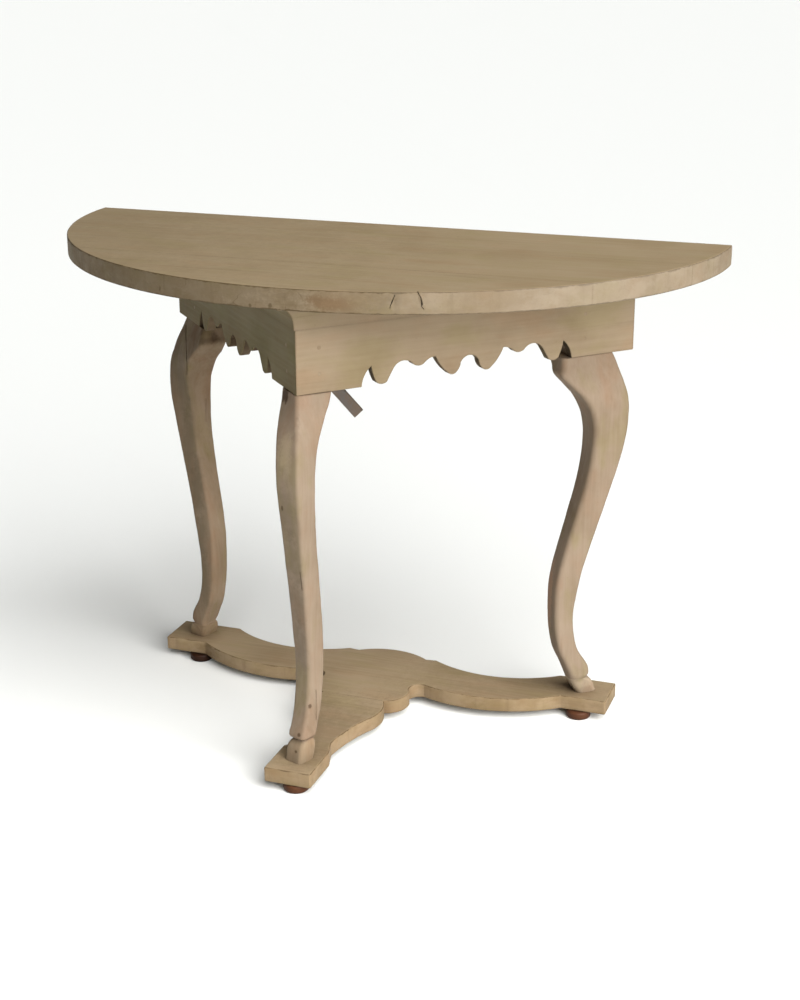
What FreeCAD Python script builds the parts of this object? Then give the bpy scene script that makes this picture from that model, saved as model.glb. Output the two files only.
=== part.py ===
import FreeCAD, Part
import os
import re
import Sketcher

# Demilune table: a half-oval top on a corner apron with scalloped rails, three cabriole legs
# with hoof feet, and a low scrolled platform. The straight back edge faces +Y, the front corner -Y.
# The origin lies on the floor under the middle of the top. Lengths are in millimetres.

SIZES = {
    # Top, three boards parallel to the straight back
    "top_width": 1060,
    "top_depth": 491,
    "top_thickness": 31,
    "table_height": 770,
    "front_board_depth": 165,
    "middle_board_depth": 165,
    # Apron: two rails that meet at the front corner, and a back rail
    "apron_depth": 137.5,
    "apex_setback": 64,
    "rail_setback": 14,
    "apron_half_width": 390,
    "rail_thickness": 15,
    "back_rail_thickness": 17,
    "back_rail_lift": 20,
    # Scalloped edge of a front rail, between a plain land at each end
    "front_land": 102.5,
    "back_land": 112.5,
    "scallop_rise": 31,
    # Cove moulding between rail and top
    "cove_height": 43,
    "cove_projection": 40,
    "cove_lip": 2.5,
    # Bearer and glue blocks under the top
    "bearer_width": 44,
    "bearer_depth": 40,
    "bearer_gap": 1,
    "block_leg": 26,
    "block_length": 46,
    # Side legs, set in from the back end of a front rail and out from its face
    "leg_setback": 82,
    "leg_out": 13,
    "leg_sweep": 67,
    "leg_lean": 39,
    "knee_width": 62,
    "knee_depth": 50,
    "leg_round": 8,
    "post_lead": 26,
    "post_width": 36,
    "post_depth": 35,
    # Front leg, placed out from the front corner
    "front_leg_out": 28,
    "front_leg_sweep": 67,
    "front_leg_side": 55,
    "front_post_side": 41,
    # Hoof at the foot of every leg, kicked along and lagging in from the leg's line
    "foot_kick": 18,
    "foot_lag": 21,
    "front_foot_lag": 17,
    "hoof_height": 33,
    "hoof_width": 34,
    "hoof_depth": 37,
    "hoof_round": 12,
    # Platform, its hand-cut pads and the hooves on them a little off the middle
    "platform_thickness": 24,
    "pad_side": 75,
    "pad_shift": 7,
    "hoof_shift": 5,
    "pad_outer": 54,
    "pad_back": 30,
    "pad_front": 44,
    # Turned feet, set in from the front edges of their pads
    "foot_radius": 20,
    "foot_height": 13.5,
    "side_foot_inset": 12,
    "front_foot_inset": 19,
    "foot_edge": 4,
    # Round tenons of the legs
    "tenon_radius": 10,
    "tenon_length": 13,
    # Dowels of the board joints
    "dowel_radius": 5,
    "dowel_length": 60,
    "dowel_clearance": 0.15,
    "platform_dowel_spread": 32,
    # Screws and nails
    "screw_radius": 2.4,
    "screw_head_radius": 4.5,
    "screw_head": 3.5,
    "screw_bite": 9,
    "top_screw_bite": 16,
    "nail_radius": 1.5,
    "nail_head_radius": 3,
    "nail_head": 1.2,
    "nail_length": 38,
    "nail_low": 28,
    "nail_high": 66,
    "fastener_clearance": 0.2,
    # Linking bar on the back rail
    "bar_length": 266,
    "bar_half_width": 10,
    "bar_thickness": 5,
    "bar_inset": 133,
    "bar_drop": 99,
    "bar_angle": 45,
    "pivot_radius": 3,
    "pivot_clearance": 0.06,
    "pivot_bite": 12,
    "pivot_head_radius": 7.5,
    "pivot_head": 3.5,
    "washer_radius": 9,
    "washer_thickness": 4.2,
    "running_gap": 0.3,
}

# Sizes that follow from those above.
WORKED = {
    "half_width": "top_width / 2",
    "back_edge": "top_depth / 2",
    "underside": "table_height - top_thickness",
    "apron_bottom": "underside - apron_depth",
    "front_joint": "top_depth - front_board_depth",
    "back_joint": "front_joint - middle_board_depth",
    "apex": "apex_setback - back_edge",
    "rail_back": "back_edge - rail_setback",
    "rail_rise": "rail_back - apex",
    "rail_length": "sqrt(apron_half_width ^ 2 + rail_rise ^ 2)",
    "rail_cos": "apron_half_width / rail_length",
    "rail_sin": "rail_rise / rail_length",
    "rail_angle": "atan(rail_rise / apron_half_width)",
    "mitre": "rail_sin / rail_cos",
    "scallop_half": "(rail_length - front_land - back_land) / 2",
    "scallop_centre": "front_land + scallop_half",
    "leg_reach": "rail_length - leg_setback",
    "post_start": "leg_reach - post_lead",
    "foot_reach": "leg_reach + foot_kick",
    "foot_in": "foot_lag - leg_out",
    "front_foot_out": "front_leg_out - front_foot_lag",
    "platform_top": "foot_height + platform_thickness",
    "leg_height": "apron_bottom - platform_top",
    "side_foot_x": "rail_cos * foot_reach - rail_sin * foot_in",
    "side_foot_y": "apex + rail_sin * foot_reach + rail_cos * foot_in",
    "front_foot_y": "apex - front_foot_out",
    "front_leg_y": "apex - front_leg_out",
    "half_span": "side_foot_x + pad_outer",
    "hoof_shift_along": "hoof_shift * rail_cos",
    "hoof_shift_in": "hoof_shift * rail_sin",
    "pad_back_y": "side_foot_y + pad_back",
    "pad_front_y": "pad_back_y - pad_side",
    "front_edge": "front_foot_y - pad_front",
    "platform_run": "pad_back_y - front_edge",
    "side_disc_y": "pad_front_y + side_foot_inset",
    "front_disc_y": "front_edge + front_foot_inset",
    "apex_inside": "apex + rail_thickness / rail_cos",
    "front_post_back": "apex_inside + 2 * front_post_side * rail_sin",
    "back_rail_front": "rail_back - back_rail_thickness",
    "bearer_bottom": "underside - bearer_depth",
    "bar_side": "apron_half_width - bar_inset",
    "pivot_height": "underside - bar_drop",
    "bar_face": "rail_back + washer_thickness + running_gap",
}

# Where the rounded front of the top board turns, as shares of the front board's depth.
FRONT_TURN_SHARE = 0.37
FRONT_NOSE_SHARE = 0.65

# One half of the scallop, from its middle outwards. Each row is the end of an arc and a point on it:
# along as a share of the scallop's half length, up as a share of its rise.
SCALLOP_START_SHARES = (0.085, 0.55)
SCALLOP_CROWN_SHARE = 0.84
SCALLOP_SHARES = (
    (0.130, 0.080, 0.102, 0.260),
    (0.204, 0.113, 0.164, 0.010),
    (0.323, 1.000, 0.269, 0.484),
    (0.431, 0.726, 0.380, 0.935),
    (0.527, 0.758, 0.479, 0.655),
    (0.703, 0.758, 0.612, 1.000),
    (0.771, 0.097, 0.739, 0.420),
    (0.867, 0.129, 0.819, 0.016),
    (0.914, 0.935, 0.895, 0.484),
    (1.000, 0.000, 0.969, 0.581),
)

# Side legs from the nick above the hoof to the rail: height as a share of the leg's height, place
# along and out as shares of its sweep and lean, width and depth as shares of the knee.
SIDE_LEG_SHARES = (
    (0.058, -0.150, -0.17, 0.42, 0.72),
    (0.070, -0.132, -0.18, 0.52, 0.80),
    (0.095, -0.185, -0.24, 0.58, 0.80),
    (0.150, -0.41, -0.39, 0.51, 0.77),
    (0.235, -0.50, -0.49, 0.51, 0.76),
    (0.360, -0.39, -0.51, 0.64, 0.77),
    (0.500, -0.06, -0.44, 0.70, 0.80),
    (0.640, 0.29, -0.35, 0.74, 0.87),
    (0.760, 0.49, -0.32, 0.86, 0.98),
    (0.830, 0.49, -0.33, 1.01, 1.00),
    (0.885, 0.36, -0.34, 1.27, 0.92),
    (0.925, 0.17, -0.40, 1.54, 0.76),
    (0.955, 0.03, -0.54, 1.70, 0.72),
    (0.975, 0.04, -0.76, 1.56, 0.86),
    (1.000, 0.00, -1.00, 0.97, 1.02),
)

# Front leg: height share, place inwards as a share of its sweep, side as a share of the top's.
FRONT_LEG_SHARES = (
    (0.058, 0.325, 0.47),
    (0.070, 0.285, 0.62),
    (0.095, 0.42, 0.61),
    (0.150, 0.66, 0.61),
    (0.235, 0.79, 0.63),
    (0.360, 0.72, 0.67),
    (0.500, 0.56, 0.70),
    (0.640, 0.39, 0.75),
    (0.760, 0.28, 0.82),
    (0.830, 0.31, 0.86),
    (0.885, 0.43, 0.89),
    (0.940, 0.70, 0.95),
    (0.975, 0.91, 1.00),
    (1.000, 1.00, 1.02),
)

# Hoof, from the platform up to the nick: height share, shares of its width and depth, and how far it
# follows the leg above it.
HOOF_SHARES = (
    (0.00, 0.97, 0.97, 0.00),
    (0.45, 1.02, 1.02, 0.36),
    (0.80, 1.00, 1.00, 0.66),
    (1.00, 0.80, 0.90, 1.00),
)

# Platform outline on its right side: across as shares of its half span, forward from the back edge of
# the side pads as shares of its run. An arc's end comes first, then a point on it.
BUMP_CROWN_SHARE = -0.012
BUMP_END_SHARES = (0.156, 0.032)
LIP_SHARES = (0.201, 0.027)
ARM_BACK_SHARES = (0.744, 0.432, 0.089)
ARM_FRONT_SHARES = (0.229, 0.242, 0.477, 0.273)
BITE_SHARES = (0.1935, 0.3125, 0.183, 0.2665)
LOBE_SHARES = (0.1206, 0.4134, 0.181, 0.372)
SHOULDER_SHARES = (0.1156, 0.567, 0.143, 0.492)
WAIST_SHARES = (0.0553, 0.7686, 0.0729, 0.679)

# Places of repeated small pieces, as shares of the length that they stand along.
TOP_DOWEL_SHARES = (-0.72, -0.26, 0.26, 0.72)
RAIL_BLOCK_SHARES = (0.24, 0.46, 0.68)
BACK_BLOCK_SHARES = (-0.42, 0.42)
MIDDLE_SCREW_SHARES = (0.25, 0.75)
BACK_SCREW_SHARE = 0.5

doc = FreeCAD.newDocument("DemiluneTable")


def fill_sheet(name, cells):
    """Write the cells to a sheet, each under its own alias."""
    sheet = doc.addObject("Spreadsheet::Sheet", name)
    for row, (alias, text) in enumerate(cells.items(), start=1):
        sheet.set(f"A{row}", alias)
        sheet.set(f"B{row}", text)
        sheet.setAlias(f"B{row}", alias)
    doc.recompute()
    return sheet


def bound(text):
    """The expression with the name of each size pointing at its cell."""

    def cell(word):
        name = word.group()
        if name in SIZES:
            return f"Sizes.{name}"
        return f"Worked.{name}" if name in WORKED else name

    return re.sub(r"[a-z]\w*", cell, text)


sizes = fill_sheet("Sizes", {alias: str(number) for alias, number in SIZES.items()})
fill_sheet("Worked", {alias: f"={bound(text)}" for alias, text in WORKED.items()})


def value(text):
    """The number that an expression of sizes gives."""
    return float(sizes.evalExpression(bound(text)))


def place(item, x="0", y="0", z="0", axis=(0, 0, 1), turn=None):
    """Bind where a piece stands and how far it is turned about an axis."""
    if turn is not None:
        rotation = FreeCAD.Rotation(FreeCAD.Vector(*axis), value(turn))
        item.Placement = FreeCAD.Placement(FreeCAD.Vector(), rotation)
        item.setExpression("Placement.Rotation.Angle", bound(turn))
    for letter, text in zip("xyz", (x, y, z)):
        item.setExpression(f"Placement.Base.{letter}", bound(text))


def new_body(name):
    """An empty body."""
    body = doc.addObject("PartDesign::Body", name)
    body.Label = name
    return body


def new_sketch(body, role, corners, centre=("0", "0", "0"), turn=0):
    """A closed profile on one of the body's own planes, moved to a centre and turned in its plane."""
    sketch = body.newObject("Sketcher::SketchObject", f"{body.Name}_profile")
    support = next(item for item in body.Origin.OriginFeatures if item.Role == role)
    sketch.AttachmentSupport = [(support, "")]
    sketch.MapMode = "FlatFace"
    rotation = FreeCAD.Rotation(FreeCAD.Vector(0, 0, 1), turn)
    sketch.AttachmentOffset = FreeCAD.Placement(FreeCAD.Vector(), rotation)
    for letter, text in zip("xyz", centre):
        sketch.setExpression(f"AttachmentOffset.Base.{letter}", bound(text))
    draw_profile(sketch, corners)
    return sketch


def draw_profile(sketch, corners):
    """Join the corners by lines, or by an arc where a corner also names a point that the arc passes."""
    points = [FreeCAD.Vector(value(corner[0]), value(corner[1]), 0) for corner in corners]
    ends = []
    rules = []
    texts = []

    def hold(item, spot, across, along):
        """Pin one point of the sketch at two bound sizes."""
        rules.append(Sketcher.Constraint("DistanceX", -1, 1, item, spot, value(across)))
        rules.append(Sketcher.Constraint("DistanceY", -1, 1, item, spot, value(along)))
        texts.extend((across, along))

    for number, corner in enumerate(corners):
        start, finish = points[number], points[(number + 1) % len(points)]
        if len(corner) == 2:
            item = sketch.addGeometry(Part.LineSegment(start, finish))
            ends.append((item, 1, 2))
        else:
            crown = FreeCAD.Vector(value(corner[2]), value(corner[3]), 0)
            item = sketch.addGeometry(Part.Arc(start, crown, finish))
            forward = sketch.getPoint(item, 1).isEqual(start, value("fastener_clearance"))
            ends.append((item, 1, 2) if forward else (item, 2, 1))
            mark = sketch.addGeometry(Part.Point(crown), True)
            hold(mark, 1, corner[2], corner[3])
            rules.append(Sketcher.Constraint("PointOnObject", mark, 1, item))
            texts.append(None)
        hold(item, ends[-1][1], corner[0], corner[1])
    for number, (item, head, _) in enumerate(ends):
        earlier, _, tail = ends[number - 1]
        rules.append(Sketcher.Constraint("Coincident", earlier, tail, item, head))
        texts.append(None)
    rows = sketch.addConstraint(rules)
    for row, text in zip(rows, texts):
        if text is not None:
            sketch.setExpression(f"Constraints[{row}]", bound(text))


def pad(name, role, corners, length, start="0", reverse=False):
    """A body of one padded profile."""
    body = new_body(name)
    add_pad(body, role, corners, length, start, reverse)
    return body


def add_pad(body, role, corners, length, start="0", reverse=False):
    """Pad one more profile onto a body."""
    feature = body.newObject("PartDesign::Pad", f"{body.Name}_pad")
    feature.Profile = new_sketch(body, role, corners, centre=("0", "0", start))
    feature.setExpression("Length", bound(length))
    feature.Reversed = reverse


def turned(name, role, corners):
    """A body turned about its own upright (XZ) or inward (XY) axis."""
    body = new_body(name)
    feature = body.newObject("PartDesign::Revolution", f"{name}_turning")
    feature.Profile = new_sketch(body, role, corners)
    feature.ReferenceAxis = (feature.Profile[0], ["V_Axis"])
    feature.Angle = 360
    return body


def group(name, items):
    """Several pieces under one name."""
    compound = doc.addObject("Part::Compound", name)
    compound.Links = items
    return compound


def boolean(kind, name, base, tool):
    """A cut or common of two objects."""
    result = doc.addObject(kind, name)
    result.Base = base
    result.Tool = tool
    return result


def with_holes(name, base, holes):
    """The piece with its holes cut."""
    return boolean("Part::Cut", name, base, group(f"{name}_holes", holes))


def rod(name, radius, length, x, y, z, along_y=False):
    """A round rod that stands upright, or lies along Y."""
    item = doc.addObject("Part::Cylinder", name)
    item.setExpression("Radius", bound(radius))
    item.setExpression("Height", bound(length))
    if along_y:
        item.Placement = FreeCAD.Placement(FreeCAD.Vector(), FreeCAD.Rotation(FreeCAD.Vector(1, 0, 0), -90))
    place(item, x, y, z)
    return item


def headed(head_radius, head, shank, length, clearance="0"):
    """Half profile of a headed fastener, from the outside of its head inwards."""
    return [
        ("0", "0"),
        (f"{head_radius} + {clearance}", "0"),
        (f"{head_radius} + {clearance}", f"{head} + {clearance}"),
        (f"{shank} + {clearance}", f"{head} + {clearance}"),
        (f"{shank} + {clearance}", f"{length} + {clearance}"),
        ("0", f"{length} + {clearance}"),
    ]


def rounded(width, depth, rounding):
    """Rounded rectangle about its own centre."""
    wide, deep = f"({width}) / 2", f"({depth}) / 2"
    bend = f"{rounding} * (1 - sqrt(0.5))"
    corners = []
    for right, far in ((1, -1), (1, 1), (-1, 1), (-1, -1)):
        first = (f"{right} * ({wide} - {rounding})", f"{far} * {deep}")
        second = (f"{right} * {wide}", f"{far} * ({deep} - {rounding})")
        crown = (f"{right} * ({wide} - {bend})", f"{far} * ({deep} - {bend})")
        start, finish = (first, second) if right * far < 0 else (second, first)
        corners.append(start + crown)
        corners.append(finish)
    return corners


def top_edge(forward):
    """Half width of the oval top at a distance in front of its back edge."""
    return f"half_width * sqrt(1 - (({forward}) / top_depth) ^ 2)"


def edge_point(side, forward):
    """Point of the oval's edge, on the right (1) or left (-1)."""
    return f"{side} * {top_edge(forward)}", f"back_edge - ({forward})"


def top_holes(name, joints):
    """Dowel holes of the joints that a top board has."""
    holes = []
    for joint in joints:
        for number, share in enumerate(TOP_DOWEL_SHARES):
            holes.append(top_dowel(f"{name}_{joint}_{number}", joint, share, "dowel_clearance"))
    return holes


def top_dowel(name, joint, share, clearance="0"):
    """One dowel across a joint of the top."""
    return rod(
        name,
        f"dowel_radius + {clearance}",
        f"dowel_length + 2 * {clearance}",
        f"{share} * {top_edge(joint)}",
        f"back_edge - {joint} - dowel_length / 2 - {clearance}",
        "table_height - top_thickness / 2",
        along_y=True,
    )


def top_screw_lines():
    """Board that each screw of the top bites into, and its place from front to back."""
    lines = []
    for share in MIDDLE_SCREW_SHARES:
        lines.append(("top_board_middle", f"back_edge - back_joint - {share} * middle_board_depth"))
    lines.append(("top_board_back", f"back_edge - {BACK_SCREW_SHARE} * back_joint"))
    return lines


def top_screw(name, line, clearance="0"):
    """Screw that holds the bearer to the top, its head under the bearer."""
    screw = turned(
        name,
        "XZ_Plane",
        headed("screw_head_radius", "screw_head", "screw_radius",
               "screw_head + bearer_depth + top_screw_bite", clearance),
    )
    place(screw, "0", line, "bearer_bottom - screw_head")
    return screw


def make_top():
    """Three boards, their dowels and the screws that hold them."""
    turn = f"front_joint + {FRONT_TURN_SHARE} * front_board_depth"
    nose = f"front_joint + {FRONT_NOSE_SHARE} * front_board_depth"
    front = [
        edge_point(-1, "front_joint") + edge_point(-1, turn),
        edge_point(-1, nose) + ("0", "-back_edge"),
        edge_point(1, nose) + edge_point(1, turn),
        edge_point(1, "front_joint"),
    ]
    middle = [
        edge_point(-1, "back_joint") + edge_point(-1, "(front_joint + back_joint) / 2"),
        edge_point(-1, "front_joint"),
        edge_point(1, "front_joint") + edge_point(1, "(front_joint + back_joint) / 2"),
        edge_point(1, "back_joint"),
    ]
    back = [
        edge_point(-1, "0") + edge_point(-1, "back_joint / 2"),
        edge_point(-1, "back_joint"),
        edge_point(1, "back_joint") + edge_point(1, "back_joint / 2"),
        edge_point(1, "0"),
    ]
    boards = (
        ("top_board_front", front, ("front_joint",)),
        ("top_board_middle", middle, ("front_joint", "back_joint")),
        ("top_board_back", back, ("back_joint",)),
    )
    for name, corners, joints in boards:
        board = pad(f"{name}_blank", "XY_Plane", corners, "top_thickness", start="underside")
        holes = top_holes(name, joints)
        for number, (bitten, line) in enumerate(top_screw_lines()):
            if bitten == name:
                holes.append(top_screw(f"{name}_{number}", line, "fastener_clearance"))
        pieces[name] = with_holes(name, board, holes)
    pieces["top_board_dowels"] = group("top_board_dowels", [
        top_dowel(f"dowel_{joint}_{number}", joint, share)
        for joint in ("front_joint", "back_joint")
        for number, share in enumerate(TOP_DOWEL_SHARES)
    ])
    pieces["top_screws"] = group("top_screws", [
        top_screw(f"top_screw_{number}", line) for number, (_, line) in enumerate(top_screw_lines())
    ])


def in_rail_frame(item, side):
    """Stand a piece at the front corner, turned so that Y points inwards from the rail's face."""
    place(item, "0", "apex", "0", turn=f"{side} * rail_angle")


def scalloped_face(side):
    """Outline of a front rail's face, from the front corner along its scalloped edge."""

    def point(direction, along, up):
        return (
            f"{side} * (scallop_centre + {direction * along} * scallop_half)",
            f"apron_bottom + {up} * scallop_rise",
        )

    half = (SCALLOP_START_SHARES,) + SCALLOP_SHARES
    corners = [("0", "apron_bottom")]
    for far in reversed(SCALLOP_SHARES):
        corners.append(point(-1, *far[:2]) + point(-1, *far[2:]))
    corners.append(point(-1, *SCALLOP_START_SHARES) + point(1, 0, SCALLOP_CROWN_SHARE))
    for near, far in zip(half, half[1:]):
        corners.append(point(1, *near[:2]) + point(1, *far[2:]))
    corners.append(point(1, *half[-1][:2]))
    corners += [
        (f"{side} * rail_length", "apron_bottom"),
        (f"{side} * rail_length", "underside"),
        ("0", "underside"),
    ]
    return corners


def rail_nail(name, side, along, up, clearance="0"):
    """Nail from the rail's face into a leg post."""
    profile = headed("nail_head_radius", "nail_head", "nail_radius", "nail_length", clearance)
    nail = turned(name, "XY_Plane", profile)
    place(
        nail,
        f"{side} * rail_cos * ({along})",
        f"apex + rail_sin * ({along})",
        f"apron_bottom + {up}",
        turn=f"{side} * rail_angle",
    )
    return nail


def rail_nails(name, side, posts, clearance="0"):
    """Two nails at each of the named places along a rail."""
    nails = []
    for along in posts:
        for up in ("nail_low", "nail_high"):
            nails.append(rail_nail(f"{name}_{len(nails)}", side, along, up, clearance))
    return nails


FRONT_NAIL = "rail_thickness * mitre + front_post_side / 2"
SIDE_NAIL = "post_start + post_width / 2"


def make_apron():
    """Scalloped front rails, their cove mouldings, the back rail, bearer and glue blocks."""
    nails = []
    blocks = []
    for side, word in ((1, "right"), (-1, "left")):
        plan = pad(f"rail_plan_{word}", "XY_Plane", [
            ("0", "0"),
            (f"{side} * rail_length", "0"),
            (f"{side} * (rail_length - rail_thickness / mitre)", "rail_thickness"),
            (f"{side} * rail_thickness * mitre", "rail_thickness"),
        ], "apron_depth", start="apron_bottom")
        face = pad(f"rail_face_{word}", "XZ_Plane", scalloped_face(side), "rail_thickness", reverse=True)
        cove_plan = pad(f"cove_plan_{word}", "XY_Plane", [
            ("0", "0"),
            (f"{-side} * cove_projection * mitre", "-cove_projection"),
            (f"{side} * (rail_length + cove_projection / mitre)", "-cove_projection"),
            (f"{side} * rail_length", "0"),
        ], "cove_height", start="underside - cove_height")
        cove_profile = pad(f"cove_profile_{word}", "YZ_Plane", [
            ("0", "underside - cove_height"),
            ("-cove_lip", "underside - cove_height"),
            ("-cove_lip", "underside - cove_height + cove_lip",
             "-cove_projection + (cove_projection - cove_lip) * sqrt(0.5)",
             "underside - cove_lip - (cove_height - 2 * cove_lip) * (1 - sqrt(0.5))"),
            ("-cove_projection", "underside - cove_lip"),
            ("-cove_projection", "underside"),
            ("0", "underside"),
        ], "rail_length + 2 * cove_projection * (mitre + 1 / mitre)",
            start=f"-cove_projection * mitre - {int(side < 0)} * (rail_length + cove_projection / mitre)")
        for item in (plan, face, cove_plan, cove_profile):
            in_rail_frame(item, side)
        rail = boolean("Part::Common", f"rail_blank_{word}", plan, face)
        posts = (FRONT_NAIL, SIDE_NAIL)
        holes = rail_nails(f"rail_hole_{word}", side, posts, "fastener_clearance")
        pieces[f"apron_rail_{word}"] = with_holes(f"apron_rail_{word}", rail, holes)
        moulding = f"cove_moulding_{word}"
        pieces[moulding] = boolean("Part::Common", moulding, cove_plan, cove_profile)
        nails += rail_nails(f"nail_{word}", side, posts)
        for number, share in enumerate(RAIL_BLOCK_SHARES):
            block = pad(f"rail_block_{word}_{number}", "YZ_Plane", [
                ("rail_thickness", "underside"),
                ("rail_thickness", "underside - block_leg"),
                ("rail_thickness + block_leg", "underside"),
            ], "block_length", start=f"{side} * {share} * rail_length - block_length / 2")
            in_rail_frame(block, side)
            blocks.append(block)
    for number, share in enumerate(BACK_BLOCK_SHARES):
        blocks.append(pad(f"back_block_{number}", "YZ_Plane", [
            ("back_rail_front", "underside"),
            ("back_rail_front", "underside - block_leg"),
            ("back_rail_front - block_leg", "underside"),
        ], "block_length", start=f"{share} * apron_half_width - block_length / 2"))
    pieces["rail_nails"] = group("rail_nails", nails)
    pieces["glue_blocks"] = group("glue_blocks", blocks)

    inner = "(apron_half_width - rail_thickness / rail_sin)"
    back_rail = pad("back_rail_blank", "XY_Plane", [
        (f"-{inner}", "rail_back"),
        (f"-{inner} + back_rail_thickness / mitre", "back_rail_front"),
        (f"{inner} - back_rail_thickness / mitre", "back_rail_front"),
        (inner, "rail_back"),
    ], "apron_depth - back_rail_lift", start="apron_bottom + back_rail_lift")
    pieces["apron_rail_back"] = with_holes("apron_rail_back", back_rail, [
        link_screw("link_screw_hole", "fastener_clearance"),
    ])

    bearer_start = "front_post_back + bearer_gap"
    bearer = pad("bearer_blank", "XY_Plane", [
        ("-bearer_width / 2", bearer_start),
        ("bearer_width / 2", bearer_start),
        ("bearer_width / 2", "back_rail_front"),
        ("-bearer_width / 2", "back_rail_front"),
    ], "bearer_depth", start="bearer_bottom")
    pieces["centre_bearer"] = with_holes("centre_bearer", bearer, [
        rod(f"bearer_hole_{number}", "screw_radius + fastener_clearance", "bearer_depth",
            "0", line, "bearer_bottom")
        for number, (_, line) in enumerate(top_screw_lines())
    ])


def add_loft(body, sections, rounding):
    """Loft a body through its rounded sections, listed as width, depth, centre and turn."""
    sketches = []
    for width, depth, centre, turn in sections:
        sketches.append(new_sketch(body, "XY_Plane", rounded(width, depth, rounding), centre, turn))
    loft = body.newObject("PartDesign::AdditiveLoft", f"{body.Name}_loft")
    loft.Profile = sketches[0]
    loft.Sections = sketches[1:]


def add_tenon(body, x, y):
    """Round tenon under a leg."""
    ring = [
        (f"{x} - tenon_radius", y, x, f"{y} - tenon_radius"),
        (f"{x} + tenon_radius", y, x, f"{y} + tenon_radius"),
    ]
    add_pad(body, "XY_Plane", ring, "tenon_length", start="platform_top - tenon_length")


def side_leg(side, word):
    """Cabriole leg whose curve lies along a front rail, with an ear under the rail and a post behind it."""
    body = new_body(f"leg_blank_{word}")
    low = SIDE_LEG_SHARES[0]
    reach = f"(foot_reach - {side} * hoof_shift_along)"
    inwards = f"(foot_in + {side} * hoof_shift_in)"
    hoof = []
    for height, width, depth, follow in HOOF_SHARES:
        along = f"{reach} + {follow} * (leg_reach + {low[1]} * leg_sweep - {reach})"
        back = f"{inwards} - {follow} * ({inwards} + leg_out + {low[2]} * leg_lean)"
        hoof.append((
            f"{width} * hoof_width",
            f"{depth} * hoof_depth",
            (f"{side} * ({along})", back, f"platform_top + {height} * hoof_height"),
            0,
        ))
    add_loft(body, hoof, "hoof_round")
    add_tenon(body, f"{side} * {reach}", inwards)
    shank = []
    for height, along, out, width, depth in SIDE_LEG_SHARES:
        rise = f"hoof_height + {(height - low[0]) / (1 - low[0])} * (leg_height - hoof_height)"
        shank.append((
            f"{width} * knee_width",
            f"{depth} * knee_depth",
            (
                f"{side} * (leg_reach + {along} * leg_sweep)",
                f"-leg_out - {out} * leg_lean",
                f"platform_top + {rise}",
            ),
            0,
        ))
    add_loft(body, shank, "leg_round")
    add_pad(body, "XY_Plane", [
        (f"{side} * post_start", "rail_thickness"),
        (f"{side} * (post_start + post_width)", "rail_thickness"),
        (f"{side} * (post_start + post_width)", "rail_thickness + post_depth"),
        (f"{side} * post_start", "rail_thickness + post_depth"),
    ], "apron_depth", start="apron_bottom")
    in_rail_frame(body, side)
    holes = rail_nails(f"leg_hole_{word}", side, (SIDE_NAIL,), "fastener_clearance")
    pieces[f"leg_{word}"] = with_holes(f"leg_{word}", body, holes)


def front_leg():
    """Cabriole leg set cornerwise under the front corner, with a post between the rails."""
    body = new_body("leg_blank_front")
    low = FRONT_LEG_SHARES[0]
    hoof = []
    for height, width, _, follow in HOOF_SHARES:
        hoof.append((
            f"{width} * hoof_width",
            f"{width} * hoof_width",
            (
                f"{follow - 1} * hoof_shift",
                f"front_foot_y + {follow} * (front_leg_y + {low[1]} * front_leg_sweep - front_foot_y)",
                f"platform_top + {height} * hoof_height",
            ),
            45,
        ))
    add_loft(body, hoof, "hoof_round")
    add_tenon(body, "-hoof_shift", "front_foot_y")
    shank = []
    for height, inwards, breadth in FRONT_LEG_SHARES:
        rise = f"hoof_height + {(height - low[0]) / (1 - low[0])} * (leg_height - hoof_height)"
        shank.append((
            f"{breadth} * front_leg_side",
            f"{breadth} * front_leg_side",
            ("0", f"front_leg_y + {inwards} * front_leg_sweep", f"platform_top + {rise}"),
            45,
        ))
    add_loft(body, shank, "leg_round")
    add_pad(body, "XY_Plane", [
        ("0", "apex_inside"),
        ("front_post_side * rail_cos", "apex_inside + front_post_side * rail_sin"),
        ("0", "front_post_back"),
        ("-front_post_side * rail_cos", "apex_inside + front_post_side * rail_sin"),
    ], "apron_depth", start="apron_bottom")
    holes = []
    for side in (1, -1):
        holes += rail_nails(f"leg_hole_front_{side + 1}", side, (FRONT_NAIL,), "fastener_clearance")
    pieces["leg_front"] = with_holes("leg_front", body, holes)


def platform_point(side, across, forward):
    """Point of the platform's outline from its shares."""
    return f"{side} * {across} * half_span", f"pad_back_y - {forward} * platform_run"


# Name of each foot, then across and forward of its leg's tenon, then forward of the turned foot.
FEET = (
    ("front", "0", "front_foot_y", "front_disc_y"),
    ("right", "side_foot_x", "side_foot_y", "side_disc_y"),
    ("left", "-side_foot_x", "side_foot_y", "side_disc_y"),
)


def foot_screw(name, x, y, clearance="0"):
    """Screw up through a turned foot into the platform."""
    screw = turned(
        name,
        "XZ_Plane",
        headed("screw_head_radius", "screw_head", "screw_radius",
               "foot_height + screw_bite - screw_head", clearance),
    )
    place(screw, x, y, "screw_head")
    return screw


def platform_dowel(name, side, clearance="0"):
    """Dowel across the joint of the platform's two boards."""
    return rod(
        name,
        f"dowel_radius + {clearance}",
        f"dowel_length + 2 * {clearance}",
        f"{side} * platform_dowel_spread / 2",
        f"pad_back_y - {LOBE_SHARES[1]} * platform_run - dowel_length / 2 - {clearance}",
        "foot_height + platform_thickness / 2",
        along_y=True,
    )


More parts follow.
